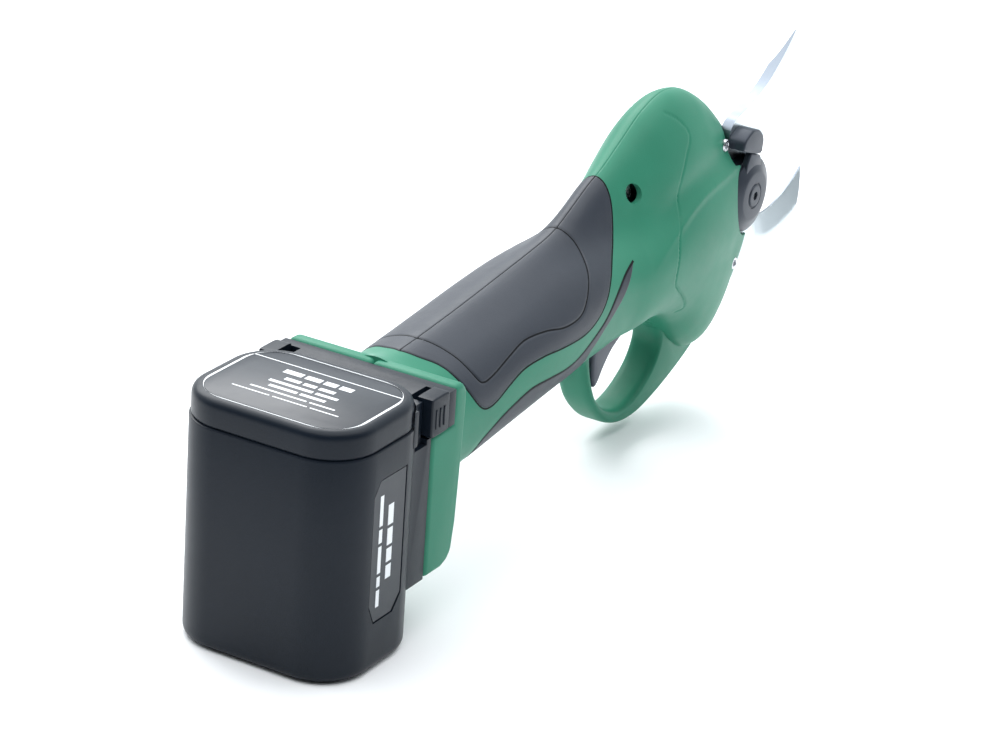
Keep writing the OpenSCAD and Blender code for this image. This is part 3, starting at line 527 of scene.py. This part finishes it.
def grid_faces(ni, nj):
    """Quads over a grid of ni by nj points."""
    return [(i * nj + j, (i + 1) * nj + j, (i + 1) * nj + j + 1, i * nj + j + 1)
            for i in range(ni - 1) for j in range(nj - 1)]


def facing_out(faces, side):
    """The faces in the order that makes them face outwards on this side."""
    return [f[::-1] for f in faces] if side == RIGHT else faces


def grid_object(name, points, side):
    faces = facing_out(grid_faces(*points.shape[:2]), side)
    return new_object(name, points.reshape(-1, 3), faces, 60)


# Edges of the soft skins as (x, degrees)
GRIP_REAR, GRIP_FRONT = 47.8, 155
GRIP_EDGE = [
    (GRIP_REAR, 90), (49.4, 75), (52.4, 58), (54.4, 36), (57.1, 18), (60.3, 8), (64, 4.5), (68.4, 5), (75, 9),
    (83.4, 12), (94.2, 9), (105.5, 3), (117.7, -1), (125.9, 3), (132.3, 13), (137.6, 26), (143, 40),
    (148.5, 53), (152, 64), (153.9, 74), (154.8, 82), (GRIP_FRONT, 90),
]
PANEL_LINE = [
    (57, 90), (57.5, 84), (59.2, 62), (60.3, 40), (61.6, 29), (63.4, 25.5), (66, 25), (70.4, 26), (78.6, 29),
    (87.4, 31), (97.3, 26), (106.9, 18), (115.7, 17), (121.7, 25), (128.3, 41), (132.6, 58), (134, 71),
    (133.4, 84), (133.2, 90),
]
PAD_REAR, PAD_FRONT, LEAF_TIP = 61.9, 126, 152.6
PAD_TOP = [
    (PAD_REAR, -27), (64.4, -21.4), (71.6, -14.6), (79.8, -11.5), (88.4, -10.7), (99.4, -16.3),
    (108.5, -21.1), (115.7, -21.2), (124.1, -13.2), (130.9, -4.8), (138, 9.5), (145.6, 22.7),
    (LEAF_TIP, 31.2),
]
LEAF_FOOT = [
    (PAD_FRONT, -27), (127.9, -22.2), (132, -13.5), (137.5, -4.8), (143.5, 6.1), (148.2, 16.8),
    (LEAF_TIP, 29.4),
]
SOFT_DEPTH = 1.2
SOFT_OVERLAP = 0.8
RIDGE_START, RIDGE_FADE = 160, 22
HALVES_LINE_START = 50
SHELL_FRONT = 229.98
# The raised edge over the side of the head as (x, degrees), and the hairline across it as (x, z)
RIDGE = [(222, 50), (214, 49.5), (206.6, 48), (192.1, 43), (178.1, 32), (164, 18), (156.4, 7)]
HEAD_LINE_XZ = [(186.1, 103.9), (191.1, 99.9), (192.4, 95.8), (188.7, 91.3), (185.1, 86.1), (182.3, 80.6),
                (180.5, 75.1), (176.4, 68.7), (173.2, 58.6), (174.6, 53.8), (187.5, 43.1), (186.1, 40.7)]


def edge_at(edge, x):
    """The angle of an edge at each x."""
    p = fine_edge(edge, 0.3)
    p = p[np.argsort(p[:, 0])]
    return np.clip(np.interp(x, p[:, 0], p[:, 1]), -90, 90)


def angle_of(x, z):
    """Angle round the body at which its side has height z."""
    a = np.linspace(-89, 89, 400)
    p = skin(np.full(400, float(x)), a, RIGHT)
    return float(np.interp(z, p[:, 2], a))


HEAD_LINE = [(x, angle_of(x, z)) for x, z in HEAD_LINE_XZ]


def groove(d, width, depth):
    """Depth of a soft groove, a distance d from its middle."""
    return depth * np.exp(-((d / width) ** 2))


def lip(d, r):
    """Depth of a rounded edge of radius r, a distance d in from the border."""
    u = np.clip(1 - d / r, 0, 1)
    return r * (1 - np.sqrt(1 - u * u))


SEAM_Y = 0.02


def parting(points):
    """The hairline where the two halves meet."""
    return groove(np.abs(points[..., 1]), 0.16, 0.16)


def grip(side, name):
    """One side's soft grip, from the top down to its wavy edge, with the line round its panel."""
    x = np.concatenate([np.linspace(47.9, 64, 60), np.linspace(64.4, 136, 190),
                        np.linspace(136.4, 154.95, 60)])
    v = np.concatenate([[0, 0.003, 0.008, 0.014], np.linspace(0.022, 1, 108)])
    low = edge_at(GRIP_EDGE, x)
    xs = np.repeat(x[:, None], len(v), 1)
    p = skin(xs, 90 - (90 - low[:, None]) * v[None], side)
    border = distance(p, on_skin(GRIP_EDGE, side), 3.0)
    panel = distance(p, on_skin(PANEL_LINE, side), 4.0)
    depth = lip(border, 0.8) + groove(panel, 0.42, 0.3) + parting(p) - 0.15
    swell = np.clip(border / 3.0, 0, 1)
    depth = depth - 0.12 * swell
    p = sunk(p, depth, side)
    p[:, 0, 1] = SEAM_Y * side
    return grid_object(name, p, side)


def pad_border(side):
    """The lines where the pad and its leaf end."""
    return np.vstack([on_skin(PAD_TOP, side), on_skin(LEAF_FOOT, side),
                      skin(np.full(60, PAD_FRONT), np.linspace(-90, -27, 60), side)])


def finger_pad(side, name):
    """The soft pad under the handle, and the leaf that runs up from it to a point."""
    parts = []
    border_line = pad_border(side)
    pad_x, leaf_x = np.linspace(PAD_REAR, PAD_FRONT, 190), np.linspace(PAD_FRONT, LEAF_TIP, 80)
    for x, foot in ((pad_x, None), (leaf_x, LEAF_FOOT)):
        top = edge_at(PAD_TOP, x)
        low = np.full(len(x), -90.0) if foot is None else np.minimum(edge_at(foot, x), top - 0.4)
        v = np.linspace(0, 1, 70 if foot is None else 24)
        p = skin(np.repeat(x[:, None], len(v), 1), top[:, None] + (low - top)[:, None] * v[None], side)
        depth = lip(distance(p, border_line, 3.0), 0.7) + parting(p) - 0.1
        p = sunk(p, depth, side)
        if foot is None:
            p[:, -1, 1] = SEAM_Y * side
        parts.append(grid_object(name, p, side))
    return joined(name, parts)


def shell_points(side):
    """A grid of points on one half of the shell, let in under the soft skins, with its lines and ridge."""
    x = np.concatenate([np.linspace(36, 144, 150, endpoint=False), np.linspace(144, SHELL_FRONT, 190)])
    a = np.concatenate([[90, 89.85, 89.65, 89.3], np.linspace(88.7, 60, 44, endpoint=False),
                        np.linspace(60, -60, 110, endpoint=False), np.linspace(-60, -90, 26)])
    xs, angles = np.meshgrid(x, a, indexing="ij")
    p = skin(xs, angles, side)
    in_grip = (angles > edge_at(GRIP_EDGE, x)[:, None]) & ((x > GRIP_REAR) & (x < GRIP_FRONT))[:, None]
    in_grip &= distance(p, on_skin(GRIP_EDGE, side), 2.0) > SOFT_OVERLAP
    foot = np.where(x < PAD_FRONT, -90.0, edge_at(LEAF_FOOT, x))
    in_pad = (angles < edge_at(PAD_TOP, x)[:, None]) & (angles > foot[:, None] - 0.01)
    in_pad &= ((x > PAD_REAR) & (x < LEAF_TIP))[:, None]
    in_pad &= distance(p, pad_border(side), 2.0) > SOFT_OVERLAP
    depth = np.where(in_grip | in_pad, SOFT_DEPTH, 0.0)
    depth += groove(distance(p, on_skin(HEAD_LINE, side), 3.0), 0.34, 0.3)
    fade = np.clip((p[..., 0] - RIDGE_START) / RIDGE_FADE, 0, 1)
    ridge = distance(p, on_skin(RIDGE, side), 14.0)
    line = on_skin(RIDGE, side)
    above = p[..., 2] > np.interp(p[..., 0], line[::-1, 0], line[::-1, 2])
    depth += fade * np.where(above, 0.8 * np.exp(-(((ridge - 6.0) / 4.0) ** 2)), 0)
    depth -= fade * 0.55 * np.exp(-((ridge / 1.6) ** 2))
    depth += parting(p) * np.where(in_grip | in_pad | (p[..., 0] < HALVES_LINE_START), 0, 1)
    p = sunk(p, depth, side)
    p[:, 0, 1] = 0.0
    p[:, -1, 1] = 0.0
    return p


GUARD_OUTER = [
    (142, 42), (143.4, 38), (147, 33), (150, 25), (153.5, 18), (158.8, 12), (165.6, 7), (174, 4.2),
    (184, 3.9), (194, 6), (204, 9.2), (214, 13.2), (221.5, 17.2), (224.2, 21), (223.5, 28), (220, 36),
]
GUARD_INNER = [
    (196, 42), (192.2, 33), (195.5, 29.5), (197, 24), (193.5, 17.5), (187, 12.7), (180, 9.8), (173, 9.2),
    (165.4, 11.8), (158.3, 17.1), (153.9, 24.2), (151.4, 32), (150.3, 40), (150, 44),
]
GUARD_HALF = 5.5
HEAD_HOLE = (163.6, 84.8)
# x, z, floor and radius of each recess; the last one is small enough to stay between the soft skins
LEFT_SCREWS = [(46, 35, 14.4, 3.0), (46, 62, 14.4, 3.0), (120.5, 53.3, 18.4, 2.0)]
# x, z and the y of the surface that each head lies on
FRONT_SCREWS = [(216.6, 86.6, -11.5), (221.7, 46.6, -15.6)]
PIVOT = (229.5, 67.5)
WALL = 1.6
# A y past the outside of the body, for cuts that go right through a wall
OUTSIDE = 30
ROOM_Y = (-15.1, -7.3)
BLADE_ROOM = [(192, 72), (192, 45), (198, 41), (209, 37), (215.5, 36.8), (220.5, 39.5), (232, 42), (232, 72)]
STOP_ROOM = [(-10.6, 25), (-10.6, 16), (-1, 12), (10, 10), (10, 40), (-6, 40)]
DOCK_SIDE = [
    (22.6, 16.7), (31.5, 16.7), (34.5, 17.9), (36.6, 20.4), (38, 28.7), (39, 44), (40, 64), (39.9, 68),
    (38, 70.6), (33.3, 70.6), (33.3, 59.6), (22.6, 59.6),
]
DOCK_HALF = 27.6


def moved(points, centre):
    return [(centre[0] + x, centre[1] + z) for x, z in points]


def guard(side):
    """Half of the trigger guard's loop."""
    outline = np.vstack([catmull(GUARD_OUTER, 1.2), catmull(GUARD_INNER, 1.2)])
    return plate("guard", outline, 0.0, side * GUARD_HALF, (0, 0), (1.4, 3.0), 6, 60)


def dock(side):
    """The green box that the battery hangs on, with its rail and the terminal opening."""
    body = rounded(plate("dock", DOCK_SIDE, 0.0, side * DOCK_HALF), 1.6, 4, 25)
    return cut_out(body, [
        slab((26, 33.3), (-24.6, 24.6), (19, 80)),
        slab((20, 27), (-22.8, 22.8), (19, 80)),
        slab((32, 46), (-11, 11), (42, 58)),
        slab((35.8, 46), (-16, 16), (34, 62)),
    ])


def shell(side, name):
    """One half of the green shell with its half of the guard and the dock."""
    p = shell_points(side)
    ni, nj = p.shape[:2]
    hub = np.array([[SHELL_FRONT, 0.0, 63.5]])
    verts = np.vstack([p.reshape(-1, 3), hub])
    faces = grid_faces(ni, nj)
    faces += [((ni - 1) * nj + j, ni * nj, (ni - 1) * nj + j + 1) for j in range(nj - 1)]
    body = new_object("skin", verts, facing_out(faces, side))
    wall = body.modifiers.new("wall", "SOLIDIFY")
    wall.thickness = WALL * MM
    wall.offset = -1.0
    wall.use_even_offset = False
    applied(body)
    trigger_slot = slab((154.5, 190.5), (-4.6, 4.6), (30, 46.5))
    bolt_room = drum(PIVOT, 9.6, -7.4, 14.5)
    cutters = [trigger_slot, bolt_room]
    if side == RIGHT:
        cutters += [
            plate("blade_room", BLADE_ROOM, *ROOM_Y),
            slab((219.3, 232), ROOM_Y, (70, 98)),
            drum(PIVOT, 13.6, *ROOM_Y),
            drum(PIVOT, 13.0, -OUTSIDE, -13.9),
            plate("stop_room", moved(STOP_ROOM, PIVOT), -OUTSIDE, ROOM_Y[1]),
            drum(HEAD_HOLE, 3.0, -OUTSIDE, -5),
        ]
        cutters += [drum((x, z), 2.1, -OUTSIDE, y) for x, z, y in FRONT_SCREWS]
    else:
        cutters += [drum((x, z), r, y - 1, OUTSIDE) for x, z, y, r in LEFT_SCREWS]
    cut_out(body, cutters)
    return joined(name, [body, guard(side), dock(side)])


def skin_normal(x, degrees, side):
    """Unit normals of the body's outside, pointing outwards."""
    along = skin(x + 0.1, degrees, side) - skin(x - 0.1, degrees, side)
    n = np.cross(along, skin(x, degrees + 0.2, side) - skin(x, degrees - 0.2, side))
    n /= np.linalg.norm(n, axis=-1)[:, None]
    return n * np.sign(np.sum(n * outward(skin(x, degrees, side)), -1))[:, None]


def painted_shade_line(points, side, width, lift):
    """A strip of painted shade in the gap along a curve on the body; it lies lift above the base surface."""
    root = 0.4
    fine = fine_edge(points, 0.6)
    p = skin(fine[:, 0], fine[:, 1], side)
    n = skin_normal(fine[:, 0], fine[:, 1], side)
    t = np.gradient(p, axis=0)
    t /= np.linalg.norm(t, axis=1)[:, None]
    b = np.cross(t, n) * width / 2
    rings = np.stack([p + b + n * lift, p - b + n * lift, p - b - n * root, p + b - n * root], 1)
    return loft("line", rings, 40)


# Painted shade along the grip's border, its panel groove and the pad's top edge, and on the right along the
# parting line on top
def gap_lines(side):
    lines = [painted_shade_line(GRIP_EDGE, side, 0.5, 0.04), painted_shade_line(PANEL_LINE, side, 0.5, 0.1),
             painted_shade_line(PAD_TOP, side, 0.75, 0.05)]
    if side == RIGHT:
        top_line = [(48.2, 90), (80, 90), (110, 90), (135, 90), (154.5, 90)]
        lines.append(painted_shade_line(top_line, side, 0.3, 0.2))
    return joined("gap_lines", lines)


for side_name, side_sign in (("right", RIGHT), ("left", LEFT)):
    dress(gap_lines(side_sign), "tool", [], "soft_grip", SHADOW_GAP)
    dress(shell(side_sign, f"shell_{side_name}"), "tool", [f"housing_{side_name}"], "green_shell")
    dress(grip(side_sign, f"soft_grip_{side_name}"), "tool", [f"grip_{side_name}"], "soft_grip")
    dress(finger_pad(side_sign, f"soft_pad_{side_name}"), "tool", [f"finger_pad_{side_name}"], "soft_grip")

# ---------------------------------------------------------------- trigger

TRIGGER_SIDE = [
    (182, 42.6), (174, 42.1), (166, 41.2), (160, 40.1), (156.3, 38.2), (155.5, 31), (155.9, 25),
    (156.5, 22.8), (157.7, 21.5), (159.8, 22.9), (162.6, 26.6), (167, 30.8), (174, 34.4), (182, 37),
    (187.2, 39.6), (188.1, 43.6), (186.8, 46), (184.6, 46.8), (182.4, 45.4),
]
TRIGGER_HALF = 4.2
TRIGGER_ROUND = (1.1, 1.4)
trigger = plate("finger_trigger", closed_catmull(TRIGGER_SIDE, 0.8), -TRIGGER_HALF, TRIGGER_HALF,
                TRIGGER_ROUND, TRIGGER_ROUND, 5, 60)
dress(trigger, "trigger", ["trigger"], "trigger_plastic")

# ---------------------------------------------------------------- blades and pivot

COUNTER_Y = -14.9
MOVING_Y = -11.35
BLADE_T = 3.5
STOP_Y = -17.3


def arc(r, a0, a1, n):
    """Points on an arc about the origin, from one angle in degrees to the other."""
    return [(r * math.cos(math.radians(a)), r * math.sin(math.radians(a))) for a in np.linspace(a0, a1, n)]


def gridded(bm, low, high):
    """Cuts a flat X-Z face into squares, so that its points can be moved across."""
    step, offset = 1.0, 0.37
    for normal, start, end in (((1, 0, 0), low[0], high[0]), ((0, 0, 1), low[1], high[1])):
        for c in np.arange(start + offset, end, step):
            everything = bm.verts[:] + bm.edges[:] + bm.faces[:]
            spot = tuple(k * c * MM for k in normal)
            bmesh.ops.bisect_plane(bm, geom=everything, plane_co=spot, plane_no=normal)


def in_order(faces):
    """The points of each face, sorted, because the faces' own order differs from run to run."""
    return sorted([v.index for v in face.verts] for face in faces)


def blade(name, outline, y0, y1, edge, width, thin, bore_r):
    """A blade about the pivot, flat at y0, whose ground side at y1 slopes over width to the cutting edge."""
    outline = np.asarray(outline, float)
    edge = catmull(edge, 0.5)
    bm = bmesh.new()
    bm.faces.new([bm.verts.new((x * MM, 0, z * MM)) for x, z in outline])
    bm.normal_update()
    bmesh.ops.triangulate(bm, faces=bm.faces)
    gridded(bm, outline.min(0), outline.max(0))
    lifted = bmesh.ops.extrude_face_region(bm, geom=bm.faces[:])
    ground = [v for v in lifted["geom"] if isinstance(v, bmesh.types.BMVert)]
    for v in bm.verts:
        v.co.y = y0 * MM
    for v in ground:
        gap = np.min(np.hypot(edge[:, 0] - v.co.x / MM, edge[:, 1] - v.co.z / MM))
        keep = thin + (1 - thin) * gap / width if gap < width else 1
        v.co.y = (y0 + (y1 - y0) * keep) * MM
    bmesh.ops.recalc_face_normals(bm, faces=bm.faces)
    bm.verts.index_update()
    mesh = bpy.data.meshes.new(name)
    mesh.from_pydata([v.co for v in bm.verts], [], in_order(bm.faces))
    bm.free()
    made = bpy.data.objects.new(name, mesh)
    bpy.context.scene.collection.objects.link(made)
    smooth(made, 20)
    return cut_out(made, [turned("bore", [(bore_r, min(y0, y1) - 2), (bore_r, max(y0, y1) + 2)], PIVOT)])


# Outlines about the pivot
MOVING_CUT = [
    (12.6, 5), (14, 11.5), (18.5, 18.5), (22, 24.5), (24.8, 30.5), (27.4, 36.2), (30.2, 41.5), (32.5, 46),
]
MOVING_SPINE = [
    (32.5, 46), (26.3, 40.2), (19.5, 35.1), (13.5, 31.6), (6.8, 28.9), (0, 26.8), (-6.4, 24.7), (-9.3, 20.5),
    (-9.3, 13), (-12.4, 4),
]
moving_outline = list(catmull(MOVING_CUT, 0.9)) + list(catmull(MOVING_SPINE, 1.0))[1:]
moving_outline += arc(17, 182.5, 259.5, 18) + arc(13, 266, 376, 24)
upper = blade("cutting_blade", moved(moving_outline, PIVOT), MOVING_Y, MOVING_Y + BLADE_T,
              moved(MOVING_CUT[1:], PIVOT), 5.5, 0.12, 5.05)
dress(upper, "blade", ["moving_blade"], "blade_steel")

HOOK_CUT = [
    (12, -7.5), (12.4, -11), (17, -12.4), (22.5, -12.3), (28, -11.3), (33, -9.8), (39.5, -7), (45, -3.9),
]
HOOK_BACK = [
    (45, -3.9), (41, -11.4), (35, -18.1), (28.5, -21.9), (21, -24.1), (12, -25), (3, -25), (-9, -27.5),
]
HOOK_ROOT = [(-14, -30.3), (-30, -24.5), (-34, -21), (-36.3, -8), (-35.6, 0.4), (-24, 3), (-11, 7)]
hook_outline = list(catmull(HOOK_CUT, 0.9)) + list(catmull(HOOK_BACK, 1.2))[1:] + HOOK_ROOT
hook_outline += arc(13, 148, -29, 40)
hook = blade("hooked_blade", moved(hook_outline, PIVOT), COUNTER_Y + BLADE_T, COUNTER_Y,
             moved(HOOK_CUT[1:], PIVOT), 6.5, 0.16, 5.0)
dress(hook, "tool", ["counter_blade"], "blade_steel")

# Radius and height of the cap's outside, from its rim to the hole in its middle
CAP_PROFILE = [
    (12.0, 0), (12.2, 0.3), (12.1, 0.9), (11.6, 1.3), (8.6, 2.55), (8.1, 2.8), (7.5, 2.92), (4.3, 2.92),
    (4.1, 2.6), (3.75, 2.6), (3.6, 2.9), (3.4, 3.15), (3.1, 3.2), (2.6, 3.2),
]
EAR_SIDE = [(-5.5, 8), (4.5, 8), (4.3, 10.5), (3.4, 12.7), (0, 13.9), (-3.2, 14.8), (-5.2, 12)]
cap = turned("cap_cone", [(r, COUNTER_Y - up) for r, up in CAP_PROFILE], PIVOT, 96)
cut_out(cap, [plate("hex", moved(arc(1.5, 0, 300, 6), PIVOT), COUNTER_Y - 5, COUNTER_Y - 2.0)])
ear = plate("ear", moved(EAR_SIDE, PIVOT), COUNTER_Y, COUNTER_Y - 2, (0, 0), (0.5, 0.5), 3)
dress(joined("pivot_cone", [cap, ear]), "tool", ["pivot_cap"], "cap_black")

STOP_SIDE = [
    (-10, 17.4), (-4, 15.2), (3, 13.4), (3.9, 15.5), (4, 18.4), (1.4, 21.4), (-2, 22.6), (-4.6, 22.7),
    (-8.8, 20.6),
]
stop_outline = moved(closed_catmull(STOP_SIDE, 0.8), PIVOT)
stop_body = plate("stop", stop_outline, MOVING_Y - 0.05, STOP_Y, (0, 0), (0.7, 0.7), 4)
dress(stop_body, "tool", ["blade_stop"], "cap_black")

# Radius and height above the surface, up the shank, over the head and down into its socket
HEAD_PROFILE = [
    (1.0, -3), (1.0, 0.4), (1.9, 0.02), (2.0, 0.35), (2.0, 0.9), (1.75, 1.2), (1.15, 1.2), (1.0, 1.05),
    (0.95, 0.5),
]
heads = []
for x, z, y in FRONT_SCREWS:
    heads.append(turned("head", [(r, y - up) for r, up in HEAD_PROFILE], (x, z), 40))
dress(joined("edge_screws", heads), "tool", ["front_screws"], "screw_steel")

# ---------------------------------------------------------------- battery

CASE_L, CASE_W, CASE_H, CORNER = 44.0, 57.5, 65.7, 15.0
LID_TOP = 73.7
LABEL_TOP = 73.6
PRINT_TOP = 73.64
FLANK_FILM = 0.2
RECESS_FLOOR = CASE_W / 2 - 0.5

# Inset and height of each ring, from the bottom up
CASE_RINGS = [
    (2.6, 0.0), (1.7, 0.15), (0.9, 0.6), (0.35, 1.3), (0.08, 2.1), (0.0, 3.0), (0.0, 30.0),
    (0.0, CASE_H - 0.5), (0.12, CASE_H - 0.2), (0.5, CASE_H - 0.02),
]
LID_RINGS = [
    (1.1, CASE_H + 0.02), (0.75, CASE_H + 0.15), (0.55, CASE_H + 0.5), (0.5, CASE_H + 1.0), (0.5, 71.0),
    (0.62, 71.9), (0.95, 72.7), (1.5, 73.25), (2.2, 73.58), (3.0, LID_TOP), (3.55, LID_TOP - 0.02),
    (3.75, 73.45), (4.2, 73.4),
]
TOP_FILM_RINGS = [(0, 73.32), (0, 73.55), (0.1, LABEL_TOP)]


def plan_ring(inset, z):
    flat = rounded_rect(CASE_L - 2 * inset, CASE_W - 2 * inset, CORNER - inset)
    return np.column_stack([flat, np.full(len(flat), z)])


def label_side(i):
    """The outline of the label on the battery's side, drawn in by i."""
    return [(-7.5 + i, 20 + i), (-5 + i, 14.5 + i), (4.5 - i, 14.5 + i), (8.5 - i, 19 + i), (8.5 - i, 57 - i),
            (-4.5 + i, 57 - i), (-7.5 + i, 53 - i)]


case = loft("case", [plan_ring(*ring) for ring in CASE_RINGS], 30)
cut_out(case, [plate("recess", label_side(0), s * RECESS_FLOOR, s * (CASE_W / 2 + 3)) for s in (RIGHT, LEFT)])
dress(case, "battery", ["battery_case"], "battery_plastic")

lid = loft("lid", [plan_ring(*ring) for ring in LID_RINGS], 30)
dress(lid, "battery", ["battery_lid"], "battery_plastic")

TOP_FILM_SIZE = (CASE_L - 8.4, CASE_W - 8.4, 9.8)
film_rings = []
for inset, z in TOP_FILM_RINGS:
    length, width, r = TOP_FILM_SIZE
    flat = rounded_rect(length - 2 * inset, width - 2 * inset, r - inset)
    film_rings.append(np.column_stack([flat, np.full(len(flat), z)]))
dress(loft("top_film", film_rings, 30), "battery", ["lid_label"], "label")


def frame_line(length, width, r, thick, z0, z1):
    """A thin raised line round a rounded rectangle."""
    rings = []
    for inset, z in ((0, z0), (0, z1), (thick, z1), (thick, z0)):
        flat = rounded_rect(length - 2 * inset, width - 2 * inset, r - inset)
        rings.append(np.column_stack([flat, np.full(len(flat), z)]))
    rings.append(rings[0])
    return loft("line", rings, 30, caps=False)


def bar(x, y):
    """A printed bar on the lid's label."""
    return rounded(slab(x, y, (73.5, PRINT_TOP)), 0.02, 1)


# Plain bars in place of the print: x, thickness and the stretches of y of each row
TOP_ROWS = [
    (7.4, 2.3, [(-11, -7), (-6, -2), (-1, 4), (5, 11)]), (3.2, 1.6, [(-8, -3), (-2, 2), (3, 8)]),
    (0.0, 1.3, [(-11, -4), (-3, 11)]), (-3.0, 1.3, [(-9, -1), (0, 9)]), (-6.0, 0.7, [(-14, -6), (-5, 13)]),
    (-8.8, 0.5, [(-17, -8), (-7, 4), (5, 17)]),
]
marks = [frame_line(37.6, 50.2, 10.4, 0.7, 73.4, PRINT_TOP), bar((11.6, 12.0), (-24.2, 24.2))]
for x, thick, words in TOP_ROWS:
    marks += [bar((x - thick / 2, x + thick / 2), word) for word in words]
dress(joined("top_marks", marks), "battery", [], "label", PRINT)

# The stretch of x and the stretches of z of each column of bars
FLANK_COLUMNS = [
    ((-4.0, -2.4), [(19, 24), (25, 28), (29, 37), (38, 42), (43, 52)]),
    ((0.2, 2.8), [(26, 30), (31, 35), (36, 41), (42, 48)]),
]
films, side_marks = [], []
for s in (RIGHT, LEFT):
    face = s * (CASE_W / 2 - FLANK_FILM)
    films.append(plate("film", label_side(0.4), s * RECESS_FLOOR, face))
    for column, words in FLANK_COLUMNS:
        for word in words:
            side_marks.append(slab(column, sorted((face - s * 0.1, face + s * 0.04)), word))
dress(joined("flank_films", films), "battery", ["side_labels"], "label")
dress(joined("flank_marks", side_marks), "battery", [], "label", PRINT)

dress(from_cad("slide_body", "battery_slide", 0.45), "battery", ["battery_slide"], "battery_plastic")


LATCH_SIDE = [
    (20.2, 61), (20.2, 66), (20.2, 70.6), (20.9, 71.3), (24.5, 71.4), (28.2, 71.3), (29, 70.5), (29, 66),
    (29, 61), (28.4, 60), (24.5, 59.9), (20.8, 60),
]
# One rib about its own middle line
RIB_SIDE = [(-0.35, 62.6), (-0.35, 67.4), (0, 67.9), (0.35, 67.4), (0.35, 62.6), (0, 62.1)]
RIB_PLACES = (22.4, 24.4, 26.4)
# Distances from the middle plane, inside and outside
LATCH_Y = (23.5, 28.45)
RIB_Y = (28.2, 28.7)


def latch(side, name):
    """A latch button with its three ribs."""
    y0, y1 = side * LATCH_Y[0], side * LATCH_Y[1]
    parts = [plate("button", closed_catmull(LATCH_SIDE, 0.7), y0, y1, (0, 0), (0.5, 0.5), 3)]
    for place in RIB_PLACES:
        outline = closed_catmull([(place + x, z) for x, z in RIB_SIDE], 0.3)
        parts.append(plate("rib", outline, side * RIB_Y[0], side * RIB_Y[1], (0, 0), (0.15, 0.2), 2))
    return joined(name, parts)


dress(latch(RIGHT, "latch_pad_right"), "latch_right", ["latch_right"], "battery_plastic")
dress(latch(LEFT, "latch_pad_left"), "latch_left", ["latch_left"], "battery_plastic")

# ---------------------------------------------------------------- stage, light and camera

# In metres; the floor lies just under the foot
FLOOR_HALF, FLOOR_Z = 6, -0.0004
SKY_TOWARDS = Vector((0.62, 0.36, 0.70))
SKY_COLOUR = (0.90, 0.96, 1.0, 1.0)
SKY_STRENGTH = (("From Min", -0.25), ("From Max", 0.75), ("To Min", 0.07), ("To Max", 1.4))

floor_mesh = bpy.data.meshes.new("floor")
floor_corners = [(x * FLOOR_HALF, y * FLOOR_HALF, FLOOR_Z) for x, y in ((-1, -1), (1, -1), (1, 1), (-1, 1))]
floor_mesh.from_pydata(floor_corners, [], [(0, 1, 2, 3)])
floor = bpy.data.objects.new("floor", floor_mesh)
bpy.context.scene.collection.objects.link(floor)
paper = Shader("paper")
paper.colour(paper.noise(6.0), srgb(246, 247, 248), srgb(250, 250, 251))
paper.roughness(paper.noise(30.0), 0.85, 0.95)
floor.data.materials.append(paper.mat)

world = bpy.data.worlds.new("studio")
bpy.context.scene.world = world
world.use_nodes = True
sky = world.node_tree
sky_coords = sky.nodes.new("ShaderNodeTexCoord")
sky_dot = sky.nodes.new("ShaderNodeVectorMath")
sky_dot.operation = "DOT_PRODUCT"
sky_dot.inputs[1].default_value = SKY_TOWARDS.normalized()
sky_range = sky.nodes.new("ShaderNodeMapRange")
sky_range.interpolation_type = "SMOOTHSTEP"
for key, value in SKY_STRENGTH:
    sky_range.inputs[key].default_value = value
sky.links.new(sky_coords.outputs["Generated"], sky_dot.inputs[0])
sky.links.new(sky_dot.outputs["Value"], sky_range.inputs["Value"])
sky.links.new(sky_range.outputs["Result"], sky.nodes["Background"].inputs["Strength"])
sky.nodes["Background"].inputs["Color"].default_value = SKY_COLOUR


def soft_light(name, place, target, size, power):
    """A rectangular light at place, turned to the target."""
    data = bpy.data.lights.new(name, "AREA")
    data.shape = "RECTANGLE"
    data.size, data.size_y = size
    data.energy = power
    lamp = bpy.data.objects.new(name, data)
    bpy.context.scene.collection.objects.link(lamp)
    lamp.location = place
    lamp.rotation_euler = (Vector(target) - Vector(place)).to_track_quat("-Z", "Y").to_euler()
    return lamp


soft_light("back_light", (0.55, 0.75, 0.8), (0.12, 0, 0.06), (0.9, 0.6), 8)
soft_light("top_light", (0.15, 0.1, 1.4), (0.12, 0, 0.05), (2.2, 2.2), 26)

# The view, in degrees and millimetres: AIM is the top of the battery's back edge, and AIM_OFFSET is
# where it lies from the camera, to the right, upwards and ahead
SENSOR = 36.0
LENS = 126.0
AZIMUTH, ELEVATION, ROLL = -60.43, 23.28, 3.95
AIM = Vector((-CASE_L / 2, 0, CASE_H))
AIM_OFFSET = (-64.26, -17.96, 918.4)


def main_camera():
    """The camera that holds AIM at AIM_OFFSET."""
    azimuth, elevation, roll = (math.radians(v) for v in (AZIMUTH, ELEVATION, ROLL))
    back = Vector((math.sin(azimuth) * math.cos(elevation), -math.cos(azimuth) * math.cos(elevation),
                   math.sin(elevation)))
    level = (-back).cross(Vector((0, 0, 1))).normalized()
    upright = level.cross(-back)
    right = level * math.cos(roll) + upright * math.sin(roll)
    up = -level * math.sin(roll) + upright * math.cos(roll)
    place = AIM - (right * AIM_OFFSET[0] + up * AIM_OFFSET[1] + (-back) * AIM_OFFSET[2])
    data = bpy.data.cameras.new("camera")
    data.sensor_width = SENSOR
    data.lens = LENS
    data.clip_start, data.clip_end = 0.01, 50
    made = bpy.data.objects.new("camera", data)
    bpy.context.scene.collection.objects.link(made)
    turn = Matrix([[right[k], up[k], back[k]] for k in range(3)]).to_4x4()
    made.matrix_world = Matrix.Translation(place * MM) @ turn
    return made


bpy.context.scene.camera = main_camera()
bpy.context.scene.view_settings.view_transform = "Standard"
